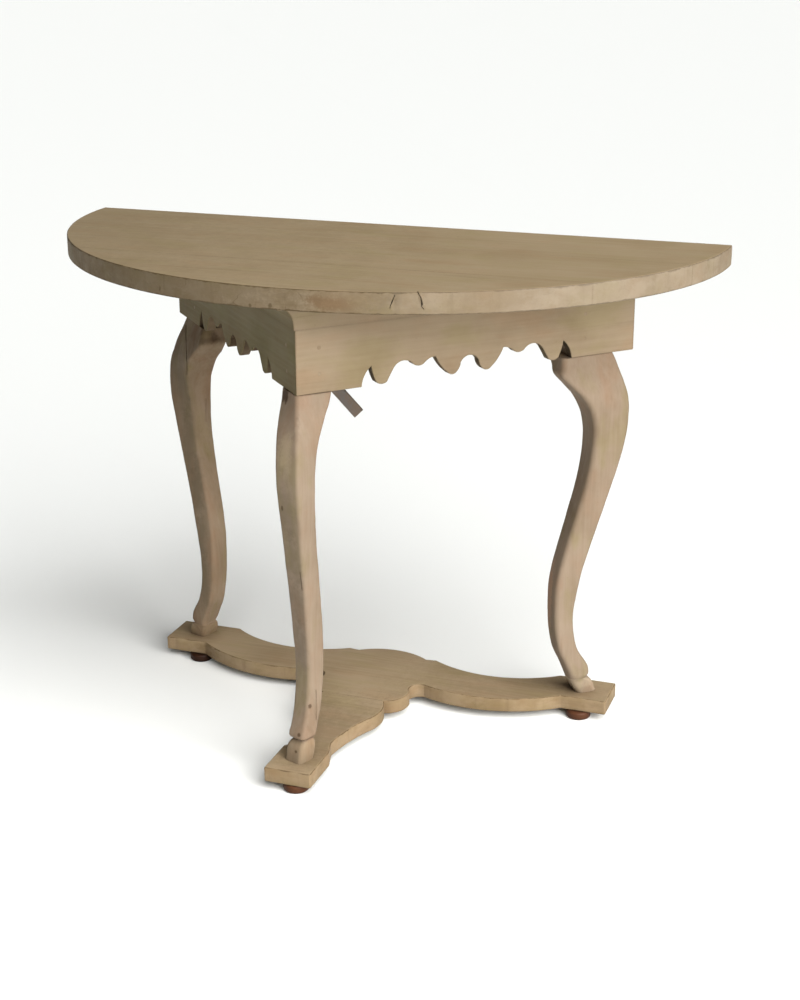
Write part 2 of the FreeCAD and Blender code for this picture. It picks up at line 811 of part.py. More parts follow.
def make_platform():
    """Cross board with both side arms, front board, their dowels, and the turned feet with their screws."""
    cross = [
        platform_point(-1, *BUMP_END_SHARES) + ("0", f"pad_back_y - {BUMP_CROWN_SHARE} * platform_run"),
        platform_point(1, *BUMP_END_SHARES),
        platform_point(1, *LIP_SHARES) + platform_point(1, *ARM_BACK_SHARES[1:]),
        platform_point(1, ARM_BACK_SHARES[0], 0),
        ("half_span - pad_shift", "pad_back_y"),
        ("half_span - pad_shift", "pad_front_y"),
        ("half_span - pad_side - pad_shift", "pad_front_y") + platform_point(1, *ARM_FRONT_SHARES[2:]),
        platform_point(1, *ARM_FRONT_SHARES[:2]) + platform_point(1, *BITE_SHARES[2:]),
        platform_point(1, *BITE_SHARES[:2]) + platform_point(1, *LOBE_SHARES[2:]),
        platform_point(1, *LOBE_SHARES[:2]),
        platform_point(-1, *LOBE_SHARES[:2]) + platform_point(-1, *LOBE_SHARES[2:]),
        platform_point(-1, *BITE_SHARES[:2]) + platform_point(-1, *BITE_SHARES[2:]),
        platform_point(-1, *ARM_FRONT_SHARES[:2]) + platform_point(-1, *ARM_FRONT_SHARES[2:]),
        ("-half_span + pad_side - pad_shift", "pad_front_y"),
        ("-half_span - pad_shift", "pad_front_y"),
        ("-half_span - pad_shift", "pad_back_y"),
        platform_point(-1, ARM_BACK_SHARES[0], 0) + platform_point(-1, *ARM_BACK_SHARES[1:]),
        platform_point(-1, *LIP_SHARES),
    ]
    arm = [
        platform_point(1, *LOBE_SHARES[:2]) + platform_point(1, *SHOULDER_SHARES[2:]),
        platform_point(1, *SHOULDER_SHARES[:2]) + platform_point(1, *WAIST_SHARES[2:]),
        platform_point(1, *WAIST_SHARES[:2]),
        ("pad_side / 2 - pad_shift", "front_edge + pad_side"),
        ("pad_side / 2 - pad_shift", "front_edge"),
        ("-pad_side / 2 - pad_shift", "front_edge"),
        ("-pad_side / 2 - pad_shift", "front_edge + pad_side"),
        platform_point(-1, *WAIST_SHARES[:2]) + platform_point(-1, *WAIST_SHARES[2:]),
        platform_point(-1, *SHOULDER_SHARES[:2]) + platform_point(-1, *SHOULDER_SHARES[2:]),
        platform_point(-1, *LOBE_SHARES[:2]),
    ]
    boards = (
        ("platform_cross_board", cross, FEET[1:]),
        ("platform_front_board", arm, FEET[:1]),
    )
    for name, corners, feet in boards:
        board = pad(f"{name}_blank", "XY_Plane", corners, "platform_thickness", start="foot_height")
        holes = [platform_dowel(f"{name}_dowel_{side + 1}", side, "dowel_clearance") for side in (1, -1)]
        for word, x, y, disc_y in feet:
            holes.append(foot_screw(f"{name}_screw_{word}", x, disc_y, "fastener_clearance"))
            holes.append(rod(f"{name}_socket_{word}", "tenon_radius + dowel_clearance",
                             "tenon_length + dowel_clearance", f"{x} - hoof_shift", y,
                             "platform_top - tenon_length - dowel_clearance"))
        pieces[name] = with_holes(name, board, holes)
    pieces["platform_dowels"] = group("platform_dowels", [
        platform_dowel(f"platform_dowel_{side + 1}", side) for side in (1, -1)
    ])
    recess = "screw_head_radius + fastener_clearance"
    bore = "screw_radius + fastener_clearance"
    bend = "foot_edge * (1 - sqrt(0.5))"
    for word, x, _, disc_y in FEET:
        foot = turned(f"foot_{word}", "XZ_Plane", [
            (recess, "0"),
            ("foot_radius - foot_edge", "0", f"foot_radius - {bend}", bend),
            ("foot_radius", "foot_edge"),
            ("foot_radius", "foot_height - foot_edge", f"foot_radius - {bend}", f"foot_height - {bend}"),
            ("foot_radius - foot_edge", "foot_height"),
            (bore, "foot_height"),
            (bore, "2 * screw_head + fastener_clearance"),
            (recess, "2 * screw_head + fastener_clearance"),
        ])
        place(foot, x, disc_y, "0")
        pieces[f"foot_{word}"] = foot
    pieces["foot_screws"] = group("foot_screws", [
        foot_screw(f"foot_screw_{word}", x, disc_y) for word, x, _, disc_y in FEET
    ])


def link_screw(name, clearance="0"):
    """Pivot screw of the linking bar, its head behind the bar."""
    screw = turned(
        name,
        "XY_Plane",
        [(x, f"-({y})") for x, y in headed(
            "pivot_head_radius", "pivot_head", "pivot_radius",
            "pivot_head + 2 * running_gap + bar_thickness + washer_thickness + pivot_bite", clearance)],
    )
    place(screw, "-bar_side", "bar_face + bar_thickness + running_gap + pivot_head", "pivot_height")
    return screw


def make_link():
    """Flat iron bar on a pivot screw, with a washer between bar and back rail."""
    hole = "pivot_radius + pivot_clearance"
    bar = pad("link_bar_blank", "XZ_Plane", [
        ("0", "bar_half_width", "-bar_half_width", "0"),
        ("0", "-bar_half_width"),
        ("bar_length", "-bar_half_width"),
        ("bar_length", "bar_half_width"),
    ], "bar_thickness", reverse=True)
    place(bar, "-bar_side", "bar_face", "pivot_height", axis=(0, 1, 0), turn="bar_angle")
    pieces["link_bar"] = with_holes("link_bar", bar, [
        rod("bar_bore", hole, "bar_thickness", "-bar_side", "bar_face", "pivot_height", along_y=True),
    ])
    pieces["link_pivot_screw"] = link_screw("link_pivot_screw")
    washer = rod("washer_blank", "washer_radius", "washer_thickness",
                 "-bar_side", "rail_back", "pivot_height", along_y=True)
    pieces["link_washer"] = with_holes("link_washer", washer, [
        rod("washer_bore", hole, "washer_thickness", "-bar_side", "rail_back", "pivot_height", along_y=True),
    ])


pieces = {}
make_top()
make_apron()
side_leg(1, "right")
side_leg(-1, "left")
front_leg()
make_platform()
make_link()
doc.recompute()

for item in doc.Objects:
    if "Invalid" in item.State or "Error" in item.State:
        raise RuntimeError(f"{item.Label} failed: {item.State}")
for name, piece in pieces.items():
    piece.Label = name
    if piece.Shape.isNull() or not piece.Shape.isValid():
        raise RuntimeError(f"{name} has no valid shape")

os.makedirs("parts", exist_ok=True)
for name, piece in pieces.items():
    piece.Shape.exportStep(f"parts/{name}.step")
    print(f"{name}: {len(piece.Shape.Solids)} solid(s), {piece.Shape.Volume:.0f} mm3")
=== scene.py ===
"""Looks of a demilune table: worn pale wood, dark turned feet and an iron linking bar."""

import logging
import math
from dataclasses import dataclass, field, replace
from enum import Enum
from typing import Callable, Iterable, Sequence

import bpy
from mathutils import Matrix, Vector

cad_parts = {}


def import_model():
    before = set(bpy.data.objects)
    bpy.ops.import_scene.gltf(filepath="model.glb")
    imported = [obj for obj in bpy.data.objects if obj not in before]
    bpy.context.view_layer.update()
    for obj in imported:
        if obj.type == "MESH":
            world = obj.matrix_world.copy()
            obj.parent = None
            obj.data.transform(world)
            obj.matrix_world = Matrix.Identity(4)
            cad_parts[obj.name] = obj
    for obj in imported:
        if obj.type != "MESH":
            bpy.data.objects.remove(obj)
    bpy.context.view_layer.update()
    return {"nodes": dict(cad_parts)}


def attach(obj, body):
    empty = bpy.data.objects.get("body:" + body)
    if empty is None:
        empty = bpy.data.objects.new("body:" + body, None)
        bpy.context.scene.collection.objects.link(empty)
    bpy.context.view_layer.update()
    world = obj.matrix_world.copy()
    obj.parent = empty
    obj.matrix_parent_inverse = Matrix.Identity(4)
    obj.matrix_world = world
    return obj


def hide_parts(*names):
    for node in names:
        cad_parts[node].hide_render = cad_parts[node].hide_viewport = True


LOG = logging.getLogger("demilune_table")

Colour = tuple[float, float, float]
Flat = tuple[float, float]
Place = tuple[float, float, float]
Face = bpy.types.MeshPolygon
Material = bpy.types.Material
Mesh = bpy.types.Object
Socket = bpy.types.NodeSocket

# Least angle in degrees that stays a crease beside an eased arris, so that flat faces shade flat.
FLAT_ANGLE = 12.0

# Corners closer than this are one corner.
MERGE_GAP = 1e-6

# The front corner of the apron, its back face and the turn of its front rails.
APEX_Y = -0.1815
RAIL_BACK = 0.2315
RAIL_HALF = 0.390
RAIL_TURN = math.atan2(RAIL_BACK - APEX_Y, RAIL_HALF)
RAIL_LENGTH = math.hypot(RAIL_HALF, RAIL_BACK - APEX_Y)
RAIL_THICKNESS = 0.015

# Heights above the floor.
TOP_HEIGHT = 0.770
UNDERSIDE = 0.739
APRON_BOTTOM = 0.6015
PLATFORM_TOP = 0.0375
FOOT_HEIGHT = 0.0135


class Side(Enum):
    """Which front rail a piece belongs to."""

    RIGHT = 1
    LEFT = -1

    @property
    def word(self) -> str:
        """The side's name in lower case."""
        return self.name.lower()

    @property
    def turn(self) -> float:
        """Turn of this side's rail about the upright axis."""
        return self.value * RAIL_TURN


class Grain(Enum):
    """Turn that lays a pattern's first axis along the wood's grain."""

    ACROSS = (0.0, 0.0, 0.0)
    DEEP = (0.0, 0.0, -math.pi / 2)
    UPRIGHT = (0.0, math.pi / 2, 0.0)
    RIGHT_RAIL = (0.0, 0.0, -RAIL_TURN)
    LEFT_RAIL = (0.0, 0.0, RAIL_TURN)


class NodeBoard:
    """A new material with helpers that add and join its nodes."""

    def __init__(self, name: str) -> None:
        """Start an empty node tree.

        Args:
            name: name of the material.
        """
        self.material = bpy.data.materials.new(name)
        self.material.use_nodes = True
        self.tree = self.material.node_tree
        self.tree.nodes.clear()

    def add(self, kind: str, inputs: dict | None = None, **settings: object) -> bpy.types.Node:
        """Add a node.

        Args:
            kind: the node's type name.
            inputs: what each input gets, a number, a colour or another node's socket.
            settings: properties of the node.

        Returns:
            The new node.
        """
        node = self.tree.nodes.new(kind)
        for name, setting in settings.items():
            setattr(node, name, setting)
        for key, given in (inputs or {}).items():
            if isinstance(given, Socket):
                self.tree.links.new(given, node.inputs[key])
            else:
                node.inputs[key].default_value = given
        return node

    def vector(
        self, operation: str, first: Socket, second: Socket | Place = (0.0, 0.0, 0.0),
    ) -> bpy.types.Node:
        """Two vectors joined by an operation."""
        return self.add("ShaderNodeVectorMath", {0: first, 1: second}, operation=operation)

    def noise(self, vector: Socket, scale: float, detail: float, roughness: float = 0.55) -> Socket:
        """A noise pattern's grey value."""
        node = self.add("ShaderNodeTexNoise", {
            "Vector": vector, "Scale": scale, "Detail": detail, "Roughness": roughness,
        })
        return node.outputs["Fac"]

    def pattern(self, vector: Socket, scale: Place, detail: float, roughness: float = 0.55) -> Socket:
        """A noise pattern's grey value, with its own scale along each axis."""
        scaled = self.add("ShaderNodeMapping", {"Vector": vector, "Scale": scale}).outputs["Vector"]
        return self.noise(scaled, 1.0, detail, roughness)

    def spread(
        self, grey: Socket, low: float, high: float, floor: float = 0.0, ceiling: float = 1.0,
    ) -> Socket:
        """A grey value mapped from one range to another, held at its ends."""
        node = self.add("ShaderNodeMapRange", {
            "Value": grey, "From Min": low, "From Max": high, "To Min": floor, "To Max": ceiling,
        })
        return node.outputs["Result"]

    def calc(self, operation: str, first: Socket | float, second: Socket | float = 0.0) -> Socket:
        """Two grey values joined by an operation."""
        return self.add("ShaderNodeMath", {0: first, 1: second}, operation=operation).outputs["Value"]

    def weigh(self, *parts: tuple[Socket, float]) -> Socket:
        """The sum of grey values, each times its weight.

        Args:
            parts: the grey values with their weights.

        Returns:
            The sum.
        """
        total, *others = [self.calc("MULTIPLY", grey, weight) for grey, weight in parts]
        for other in others:
            total = self.calc("ADD", total, other)
        return total

    def distance(self, grey: Socket, level: float) -> Socket:
        """How far a grey value lies from a level."""
        return self.calc("ABSOLUTE", self.calc("SUBTRACT", grey, level))

    def blend(
        self, share: Socket, under: Socket | Colour, over: Socket | Colour, mode: str = "MIX",
    ) -> Socket:
        """One colour laid over another.

        Args:
            share: how much of the upper colour shows.
            under: the lower colour.
            over: the upper colour.
            mode: how they blend.

        Returns:
            The blended colour.
        """
        colours = [given if isinstance(given, Socket) else (*given, 1.0) for given in (under, over)]
        inputs = {"Factor": share, 6: colours[0], 7: colours[1]}
        return self.add("ShaderNodeMix", inputs, data_type="RGBA", blend_type=mode).outputs[2]

    def close(self, surface: bpy.types.Node) -> Material:
        """Join the shader to the output and hand over the material."""
        self.add("ShaderNodeOutputMaterial", {"Surface": surface.outputs[0]})
        return self.material


# Scales of the patterns in wood, per metre, first along the grain where there are three.
FINE_SCALE = (7.0, 210.0, 210.0)
BAND_SCALE = (1.6, 22.0, 22.0)
BRUSH_SCALE = (2.6, 60.0, 60.0)
DRIFT_SCALE = (9.0, 21.0, 21.0)
CLOUD_SCALE = 8.0
SPECK_SCALE = 320.0
FRAY_SCALE = 85.0

# How far the corner darkening reaches, grime and painted shade together, how far wear reaches from an arris,
# and how deep the grain is.
GRIME_AND_SHADE_REACH = 0.03
WEAR_REACH = 0.0035
GRAIN_DEPTH = 0.0012

# Tints that the paint drifts between.
PINK_TINT = (1.0, 0.91, 0.86)
OLIVE_TINT = (0.92, 0.96, 0.80)


@dataclass(frozen=True)
class Stain:
    """A mark in the wood: a knot, a smudge or a paler patch, or a patch of painted shade or painted light;
    dark unless it has its own colour.
    """

    centre: Place
    reach: Place
    strength: float = 0.7
    core: float = 0.45
    colour: Colour | None = None


@dataclass(frozen=True)
class WornWood:
    """Pale paint or wash worn back to the wood, with streaks along the grain."""

    name: str
    slot: str
    light: Colour
    middle: Colour
    dark: Colour
    bare: Colour
    grain: Grain = Grain.ACROSS
    streak: float = 0.5
    mottle: float = 0.5
    wear: float = 0.6
    grime_and_shade: float = 0.4
    rough: float = 0.62
    bump: float = 0.35
    gloss: float = 0.10
    hue: float = 0.6
    shift: Place = (0.0, 0.0, 0.0)
    stains_and_shades: tuple[Stain, ...] = ()

    def toned(self, name: str, red: float, green: float, blue: float) -> "WornWood":
        """A finish like this one, under another name and with its colours scaled.

        Args:
            name: name of the new finish.
            red: factor of the red share.
            green: factor of the green share.
            blue: factor of the blue share.

        Returns:
            The new finish.
        """
        scales = (red, green, blue)
        tones = {tone: tuple(share * scale for share, scale in zip(getattr(self, tone), scales))
                 for tone in ("light", "middle", "dark", "bare")}
        return replace(self, name=name, **tones)

    def build(self) -> Material:
        """Make the material.

        Returns:
            The finished material.
        """
        board = NodeBoard(self.name)
        place = board.add("ShaderNodeTexCoord").outputs["Object"]
        along = board.add("ShaderNodeMapping", {
            "Vector": place, "Rotation": self.grain.value, "Location": self.shift,
        }).outputs["Vector"]
        fine = board.pattern(along, FINE_SCALE, 7.0, 0.62)
        band = board.pattern(along, BAND_SCALE, 4.0)
        cloud = board.noise(along, CLOUD_SCALE, 5.0, 0.6)
        speck = board.noise(along, SPECK_SCALE, 3.0)
        brush = board.pattern(along, BRUSH_SCALE, 6.0, 0.7)

        streaks = board.spread(board.weigh((fine, 0.45), (band, 0.55)), 0.34, 0.66)
        mottle = board.spread(cloud, 0.32, 0.68)
        weight = self.streak + self.mottle
        tone = board.weigh((streaks, self.streak / weight), (mottle, self.mottle / weight))
        ramp = board.add("ShaderNodeValToRGB", {"Fac": tone})
        stops = ramp.color_ramp.elements
        stops[0].position, stops[1].position = 0.12, 0.9
        stops.new(0.5)
        for stop, shade in zip(stops, (self.dark, self.middle, self.light)):
            stop.color = (*shade, 1.0)
        colour = ramp.outputs["Color"]

        drift = board.pattern(along, DRIFT_SCALE, 3.0, 0.6)
        for start, finish, tint in ((0.52, 0.66, PINK_TINT), (0.48, 0.34, OLIVE_TINT)):
            share = board.spread(drift, start, finish, 0.0, self.hue)
            colour = board.blend(share, colour, tint, "MULTIPLY")
        rubbed = board.spread(brush, 0.60, 0.74, 0.0, 0.30)
        colour = board.blend(rubbed, colour, self.bare)
        dots = board.spread(speck, 0.66, 0.76, 0.0, 0.22)
        colour = board.blend(dots, colour, self.bare)
        colour = self.overlay(board, place, colour)
        if self.stains_and_shades:
            patchy = board.spread(board.noise(place, FRAY_SCALE, 5.0, 0.65), 0.3, 0.7, -0.28, 0.28)
            fray = board.calc("ADD", patchy, board.spread(speck, 0.2, 0.8, -0.2, 0.2))
            for stain in self.stains_and_shades:
                share = self.stain_and_shade_share(board, place, fray, stain)
                colour = board.blend(share, colour, stain.colour or self.bare)

        edge = self.edge_share(board, cloud, speck)
        colour = board.blend(edge, colour, self.bare)
        # Darkening where surfaces close in, from ambient occlusion: partly grime, partly painted shade in
        # corners and under parts.
        occlusion = board.add("ShaderNodeAmbientOcclusion", {"Distance": GRIME_AND_SHADE_REACH}, samples=6)
        corner = board.spread(occlusion.outputs["AO"], 0.35, 0.95, self.grime_and_shade, 0.0)
        colour = board.blend(corner, colour, self.bare, "MULTIPLY")

        relief = board.weigh((fine, 0.6), (speck, 0.25), (cloud, 0.5))
        bump = board.add("ShaderNodeBump", {"Height": relief, "Strength": self.bump, "Distance": GRAIN_DEPTH})
        sheen = board.spread(streaks, 0.0, 1.0, self.rough + 0.12, self.rough - 0.06)
        surface = board.add("ShaderNodeBsdfPrincipled", {
            "Base Color": colour, "Roughness": sheen, "Normal": bump.outputs["Normal"],
            "Specular IOR Level": self.gloss,
        })
        return board.close(surface)

    def overlay(self, board: NodeBoard, place: Socket, colour: Socket) -> Socket:
        """Colour with what a special finish lays over it, here nothing."""
        return colour

    def edge_share(self, board: NodeBoard, cloud: Socket, speck: Socket) -> Socket:
        """How far the paint is rubbed off along arrises.

        Args:
            board: the material's nodes.
            cloud: broad noise that breaks the wear up.
            speck: fine noise that frays it.

        Returns:
            A grey value, high on worn edges.
        """
        soft = board.add("ShaderNodeBevel", {"Radius": WEAR_REACH}, samples=6).outputs["Normal"]
        true = board.add("ShaderNodeNewGeometry").outputs["Normal"]
        edge = board.spread(board.vector("DOT_PRODUCT", soft, true).outputs["Value"], 0.985, 0.86)
        frayed = board.spread(speck, 0.3, 0.8, -0.3, 0.3)
        ragged = board.calc("ADD", board.spread(cloud, 0.35, 0.62), frayed)
        return board.calc("MULTIPLY", board.calc("MULTIPLY", edge, ragged), self.wear)

    def stain_and_shade_share(self, board: NodeBoard, place: Socket, fray: Socket, stain: Stain) -> Socket:
        """How strong a stain or a patch of painted shade or light is at each point.

        Args:
            board: the material's nodes.
            place: coordinates on the object.
            fray: noise about zero that frays the mark's edge.
            mark: its place, reach and strength.

        Returns:
            A grey value, high in the stain.
        """
        away = board.vector("SUBTRACT", place, stain.centre).outputs["Vector"]
        away = board.vector("DIVIDE", away, stain.reach).outputs["Vector"]
        far = board.vector("LENGTH", away).outputs["Value"]
        return board.spread(board.calc("ADD", far, fray), stain.core, 1.0, stain.strength, 0.0)


@dataclass(frozen=True)
class WornRim(WornWood):
    """Old edge of a board: blotches of paint, upright streaks, curling checks and dark arrises."""

    patch: Colour = (0.36, 0.29, 0.21)
    low: float = 0.739
    high: float = 0.770
    arris: float = 0.0019
    checks: float = 0.5
    blotch: float = 0.5

    def overlay(self, board: NodeBoard, place: Socket, colour: Socket) -> Socket:
        """Lay the blotches, streaks, checks and arris lines over the colour.

        Args:
            board: the material's nodes.
            place: coordinates on the object.
            colour: the colour so far.

        Returns:
            The colour with the marks.
        """
        blotch = board.pattern(place, (26.0, 26.0, 40.0), 5.0, 0.62)
        colour = board.blend(board.spread(blotch, 0.47, 0.60, 0.0, self.blotch), colour, self.patch)
        dirt = board.pattern(place, (19.0, 19.0, 30.0), 6.0, 0.7)
        colour = board.blend(board.spread(dirt, 0.55, 0.72, 0.0, 0.25), colour, self.bare)
        streaks = board.pattern(place, (75.0, 75.0, 7.0), 4.0, 0.6)
        colour = board.blend(board.spread(streaks, 0.56, 0.76, 0.0, 0.32), colour, self.bare)
        swirl = board.pattern(place, (17.0, 17.0, 34.0), 2.0, 0.5)
        line = board.spread(board.distance(swirl, 0.47), 0.001, 0.007, 1.0, 0.0)
        broken = board.spread(board.noise(place, 21.0, 2.0), 0.50, 0.62, 0.0, self.checks)
        colour = board.blend(board.calc("MULTIPLY", line, broken), colour, self.bare)
        height = board.add("ShaderNodeSeparateXYZ", {"Vector": place}).outputs["Z"]
        chips = board.pattern(place, (60.0, 60.0, 20.0), 4.0, 0.65)
        chips = board.spread(chips, 0.41, 0.75, -self.arris * 0.5, self.arris * 1.1)
        for arris in (self.low, self.high):
            gap = board.calc("SUBTRACT", board.distance(height, arris), chips)
            share = board.spread(gap, self.arris * 0.6, self.arris * 1.2, 0.8, 0.0)
            colour = board.blend(share, colour, self.bare)
        return colour


@dataclass(frozen=True)
class AgedIron:
    """Dull iron with brown bloom."""

    name: str
    slot: str
    metal: Colour
    bloom: Colour
    metallic: float = 0.55
    rough: float = 0.6

    def build(self) -> Material:
        """Make the material.

        Returns:
            The finished material.
        """
        board = NodeBoard(self.name)
        place = board.add("ShaderNodeTexCoord").outputs["Object"]
        cloud = board.noise(place, 34.0, 6.0, 0.65)
        pit = board.noise(place, 620.0, 3.0)
        pitted = board.spread(pit, 0.3, 0.7, -0.12, 0.12)
        share = board.spread(board.calc("ADD", cloud, pitted), 0.42, 0.62)
        colour = board.blend(share, self.metal, self.bloom)
        relief = board.weigh((cloud, 0.6), (pit, 0.4))
        bump = board.add("ShaderNodeBump", {"Height": relief, "Strength": 0.35, "Distance": 0.0006})
        surface = board.add("ShaderNodeBsdfPrincipled", {
            "Base Color": colour, "Metallic": self.metallic, "Normal": bump.outputs["Normal"],
            "Roughness": board.spread(share, 0.0, 1.0, self.rough - 0.1, self.rough + 0.2),
        })
        return board.close(surface)


def deselect() -> None:
    """Leave edit mode and clear the selection."""
    if bpy.context.object and bpy.context.object.mode != "OBJECT":
        bpy.ops.object.mode_set(mode="OBJECT")
    bpy.ops.object.select_all(action="DESELECT")


def activate(piece: Mesh) -> None:
    """Make one piece the only selected and active one.

    Args:
        piece: the piece to work on next.
    """
    deselect()
    piece.select_set(True)
    bpy.context.view_layer.objects.active = piece


def settle() -> None:
    """Put the active piece's place, turn and scale into its mesh."""
    bpy.ops.object.transform_apply(location=True, rotation=True, scale=True)


def added(name: str) -> Mesh:
    """Name what was just added.

    Args:
        name: name of the object and of its data.

    Returns:
        The object.
    """
    thing = bpy.context.object
    thing.name = thing.data.name = name
    return thing


def edit_all() -> None:
    """Enter edit mode with everything selected."""
    bpy.ops.object.mode_set(mode="EDIT")
    bpy.ops.mesh.select_all(action="SELECT")


def pull(step: Place | Vector) -> None:
    """Pull what is selected out by a step."""
    bpy.ops.mesh.extrude_region_move(TRANSFORM_OT_translate={"value": step})


def face_out() -> None:
    """Select everything and turn its faces outwards."""
    bpy.ops.mesh.select_all(action="SELECT")
    bpy.ops.mesh.normals_make_consistent(inside=False)


def apply(piece: Mesh, kind: str, **settings: object) -> None:
    """Give a piece a modifier and apply it.

    Args:
        piece: the piece to work on.
        kind: the modifier's type name.
        settings: properties of the modifier.
    """
    activate(piece)
    modifier = piece.modifiers.new(kind.lower(), kind)
    for name, setting in settings.items():
        setattr(modifier, name, setting)
    bpy.ops.object.modifier_apply(modifier=modifier.name)


def subtract(piece: Mesh, cutter: Mesh) -> None:
    """Cut one piece out of another and drop it."""
    apply(piece, "BOOLEAN", operation="DIFFERENCE", object=cutter, solver="EXACT")
    bpy.data.objects.remove(cutter)


def arc(start: Flat, crown: Flat, finish: Flat, steps: int = 10) -> list[Flat]:
    """Points of the arc through three points, without its start.

    Args:
        start: where the arc begins.
        crown: a point on it.
        finish: where it ends.
        steps: number of points.

    Returns:
        The points in order.
    """
    (ax, ay), (bx, by), (cx, cy) = start, crown, finish
    twice = 2 * (ax * (by - cy) + bx * (cy - ay) + cx * (ay - by))
    a2, b2, c2 = ax * ax + ay * ay, bx * bx + by * by, cx * cx + cy * cy
    mx = (a2 * (by - cy) + b2 * (cy - ay) + c2 * (ay - by)) / twice
    my = (a2 * (cx - bx) + b2 * (ax - cx) + c2 * (bx - ax)) / twice
    radius = math.hypot(ax - mx, ay - my)
    first, through, last = (math.atan2(y - my, x - mx) for x, y in (start, crown, finish))
    whole = 2 * math.pi
    sweep, part = (last - first) % whole, (through - first) % whole
    if part > sweep:
        sweep -= whole
    angles = [first + sweep * step / steps for step in range(1, steps + 1)]
    return [(mx + radius * math.cos(angle), my + radius * math.sin(angle)) for angle in angles]


def trace(name: str, points: Sequence[Place]) -> Mesh:
    """Draw a line from point to point by pulling out a single corner.

    Args:
        name: name of the piece.
        points: the line's points in order.

    Returns:
        The new piece, in edit mode and selected all over.
    """
    deselect()
    bpy.ops.mesh.primitive_plane_add(size=0.001, location=points[0])
    piece = added(name)
    settle()
    edit_all()
    bpy.ops.mesh.merge(type="CENTER")
    for here, there in zip(points, points[1:]):
        pull(Vector(there) - Vector(here))
    bpy.ops.mesh.select_all(action="SELECT")
    return piece


def slab(name: str, outline: Sequence[Place], depth: Place) -> Mesh:
    """Draw a closed outline, fill it and pull it out to a thickness.

    Args:
        name: name of the piece.
        outline: its corners in order, in one plane.
        depth: the pull that gives it thickness.

    Returns:
        The new piece, still in edit mode.
    """
    piece = trace(name, [*outline, outline[0]])
    bpy.ops.mesh.remove_doubles(threshold=MERGE_GAP)
    bpy.ops.mesh.edge_face_add()
    pull(depth)
    face_out()
    return piece


def turn_to(piece: Mesh, angle: float, place: Place) -> None:
    """Turn a piece about the upright axis, move it and apply both.

    Args:
        piece: the piece to place.
        angle: the turn.
        place: where its origin goes.
    """
    activate(piece)
    piece.rotation_euler = (0.0, 0.0, angle)
    piece.location = place
    settle()


def saw(piece: Mesh, point: Place, normal: Place) -> None:
    """Cut a piece by a plane, drop what lies on the normal's side and close the cut.

    Args:
        piece: the piece to cut.
        point: a point of the plane.
        normal: the side that is dropped.
    """
    activate(piece)
    edit_all()
    bpy.ops.mesh.bisect(plane_co=point, plane_no=normal, use_fill=True, clear_outer=True)
    bpy.ops.object.mode_set(mode="OBJECT")


def ease(piece: Mesh, width: float, segments: int = 2, angle: float = 32.0) -> None:
    """Round the arrises of a piece.

    Args:
        piece: the piece to finish.
        width: width of the rounding.
        segments: facets across it.
        angle: least angle of an edge that is rounded, in degrees.
    """
    apply(piece, "BEVEL", width=width, segments=segments, limit_method="ANGLE",
          angle_limit=math.radians(angle), use_clamp_overlap=True)
    smooth(piece, FLAT_ANGLE)


def smooth(piece: Mesh, angle: float = 38.0) -> None:
    """Shade a piece smooth, but for edges sharper than an angle in degrees."""
    activate(piece)
    bpy.ops.object.shade_smooth_by_angle(angle=math.radians(angle))


def waver(piece: Mesh, strength: float, grain: float) -> None:
    """Make a dense surface a little uneven, as hand work leaves it.

    Args:
        piece: the piece to finish.
        strength: height of the unevenness.
        grain: size of its waves.
    """
    texture = bpy.data.textures.new(f"{piece.name}_waver", "CLOUDS")
    texture.noise_scale = grain
    apply(piece, "DISPLACE", texture=texture, texture_coords="GLOBAL", strength=strength, mid_level=0.5)


def join(pieces: Iterable[Mesh]) -> Mesh:
    """Join pieces into the first of them.

    Args:
        pieces: the pieces to join.

    Returns:
        The joined piece.
    """
    pieces = list(pieces)
    activate(pieces[0])
    for piece in pieces[1:]:
        piece.select_set(True)
    bpy.ops.object.join()
    return pieces[0]


def turning(name: str, profile: Sequence[Flat], place: Place, steps: int) -> Mesh:
    """Turn a profile of radius and height about an upright axis.

    Args:
        name: name of the piece.
        profile: radius and height of each point, from bottom to top.
        place: foot of the axis.
        steps: facets round the axis.

    Returns:
        The turned piece.
    """
    piece = trace(name, [(radius, 0.0, height) for radius, height in profile])
    bpy.ops.mesh.spin(steps=steps, angle=2 * math.pi, center=(0.0, 0.0, 0.0), axis=(0.0, 0.0, 1.0))
    bpy.ops.mesh.select_all(action="SELECT")
    bpy.ops.mesh.remove_doubles(threshold=10 * MERGE_GAP)
    face_out()
    bpy.ops.object.mode_set(mode="OBJECT")
    turn_to(piece, 0.0, place)
    return piece


def between(rows: Sequence[Sequence[float]], parts: int) -> list[list[float]]:
    """Rows of values with smooth rows put between them.

    Args:
        rows: rows that start with a height.
        parts: how many steps each gap gets.

    Returns:
        The denser rows.
    """
    def slope(number: int, item: int) -> float:
        """Slope of one value at a row."""
        low, high = rows[max(number - 1, 0)], rows[min(number + 1, len(rows) - 1)]
        return (high[item] - low[item]) / (high[0] - low[0])

    dense = []
    for number, (low, high) in enumerate(zip(rows, rows[1:])):
        gap = high[0] - low[0]
        for part in range(parts):
            t = part / parts
            row = [low[0] + t * gap]
            for item in range(1, len(low)):
                rise = high[item] - low[item]
                start, finish = slope(number, item) * gap, slope(number + 1, item) * gap
                bend = t * (1 - t) * ((1 - t) * (start - rise) - t * (finish - rise))
                row.append(low[item] + t * rise + bend)
            dense.append(row)
    dense.append(list(rows[-1]))
    return dense


class FinishBook:
    """Materials of the finishes, each made once."""

    def __init__(self) -> None:
        """Start with no material."""
        self.made: dict[str, Material] = {}

    def material(self, finish: WornWood | AgedIron) -> Material:
        """The material of a finish, made when it is first asked for.

        Args:
            finish: the finish.

        Returns:
            Its material.
        """
        if finish.name not in self.made:
            self.made[finish.name] = finish.build()
        return self.made[finish.name]


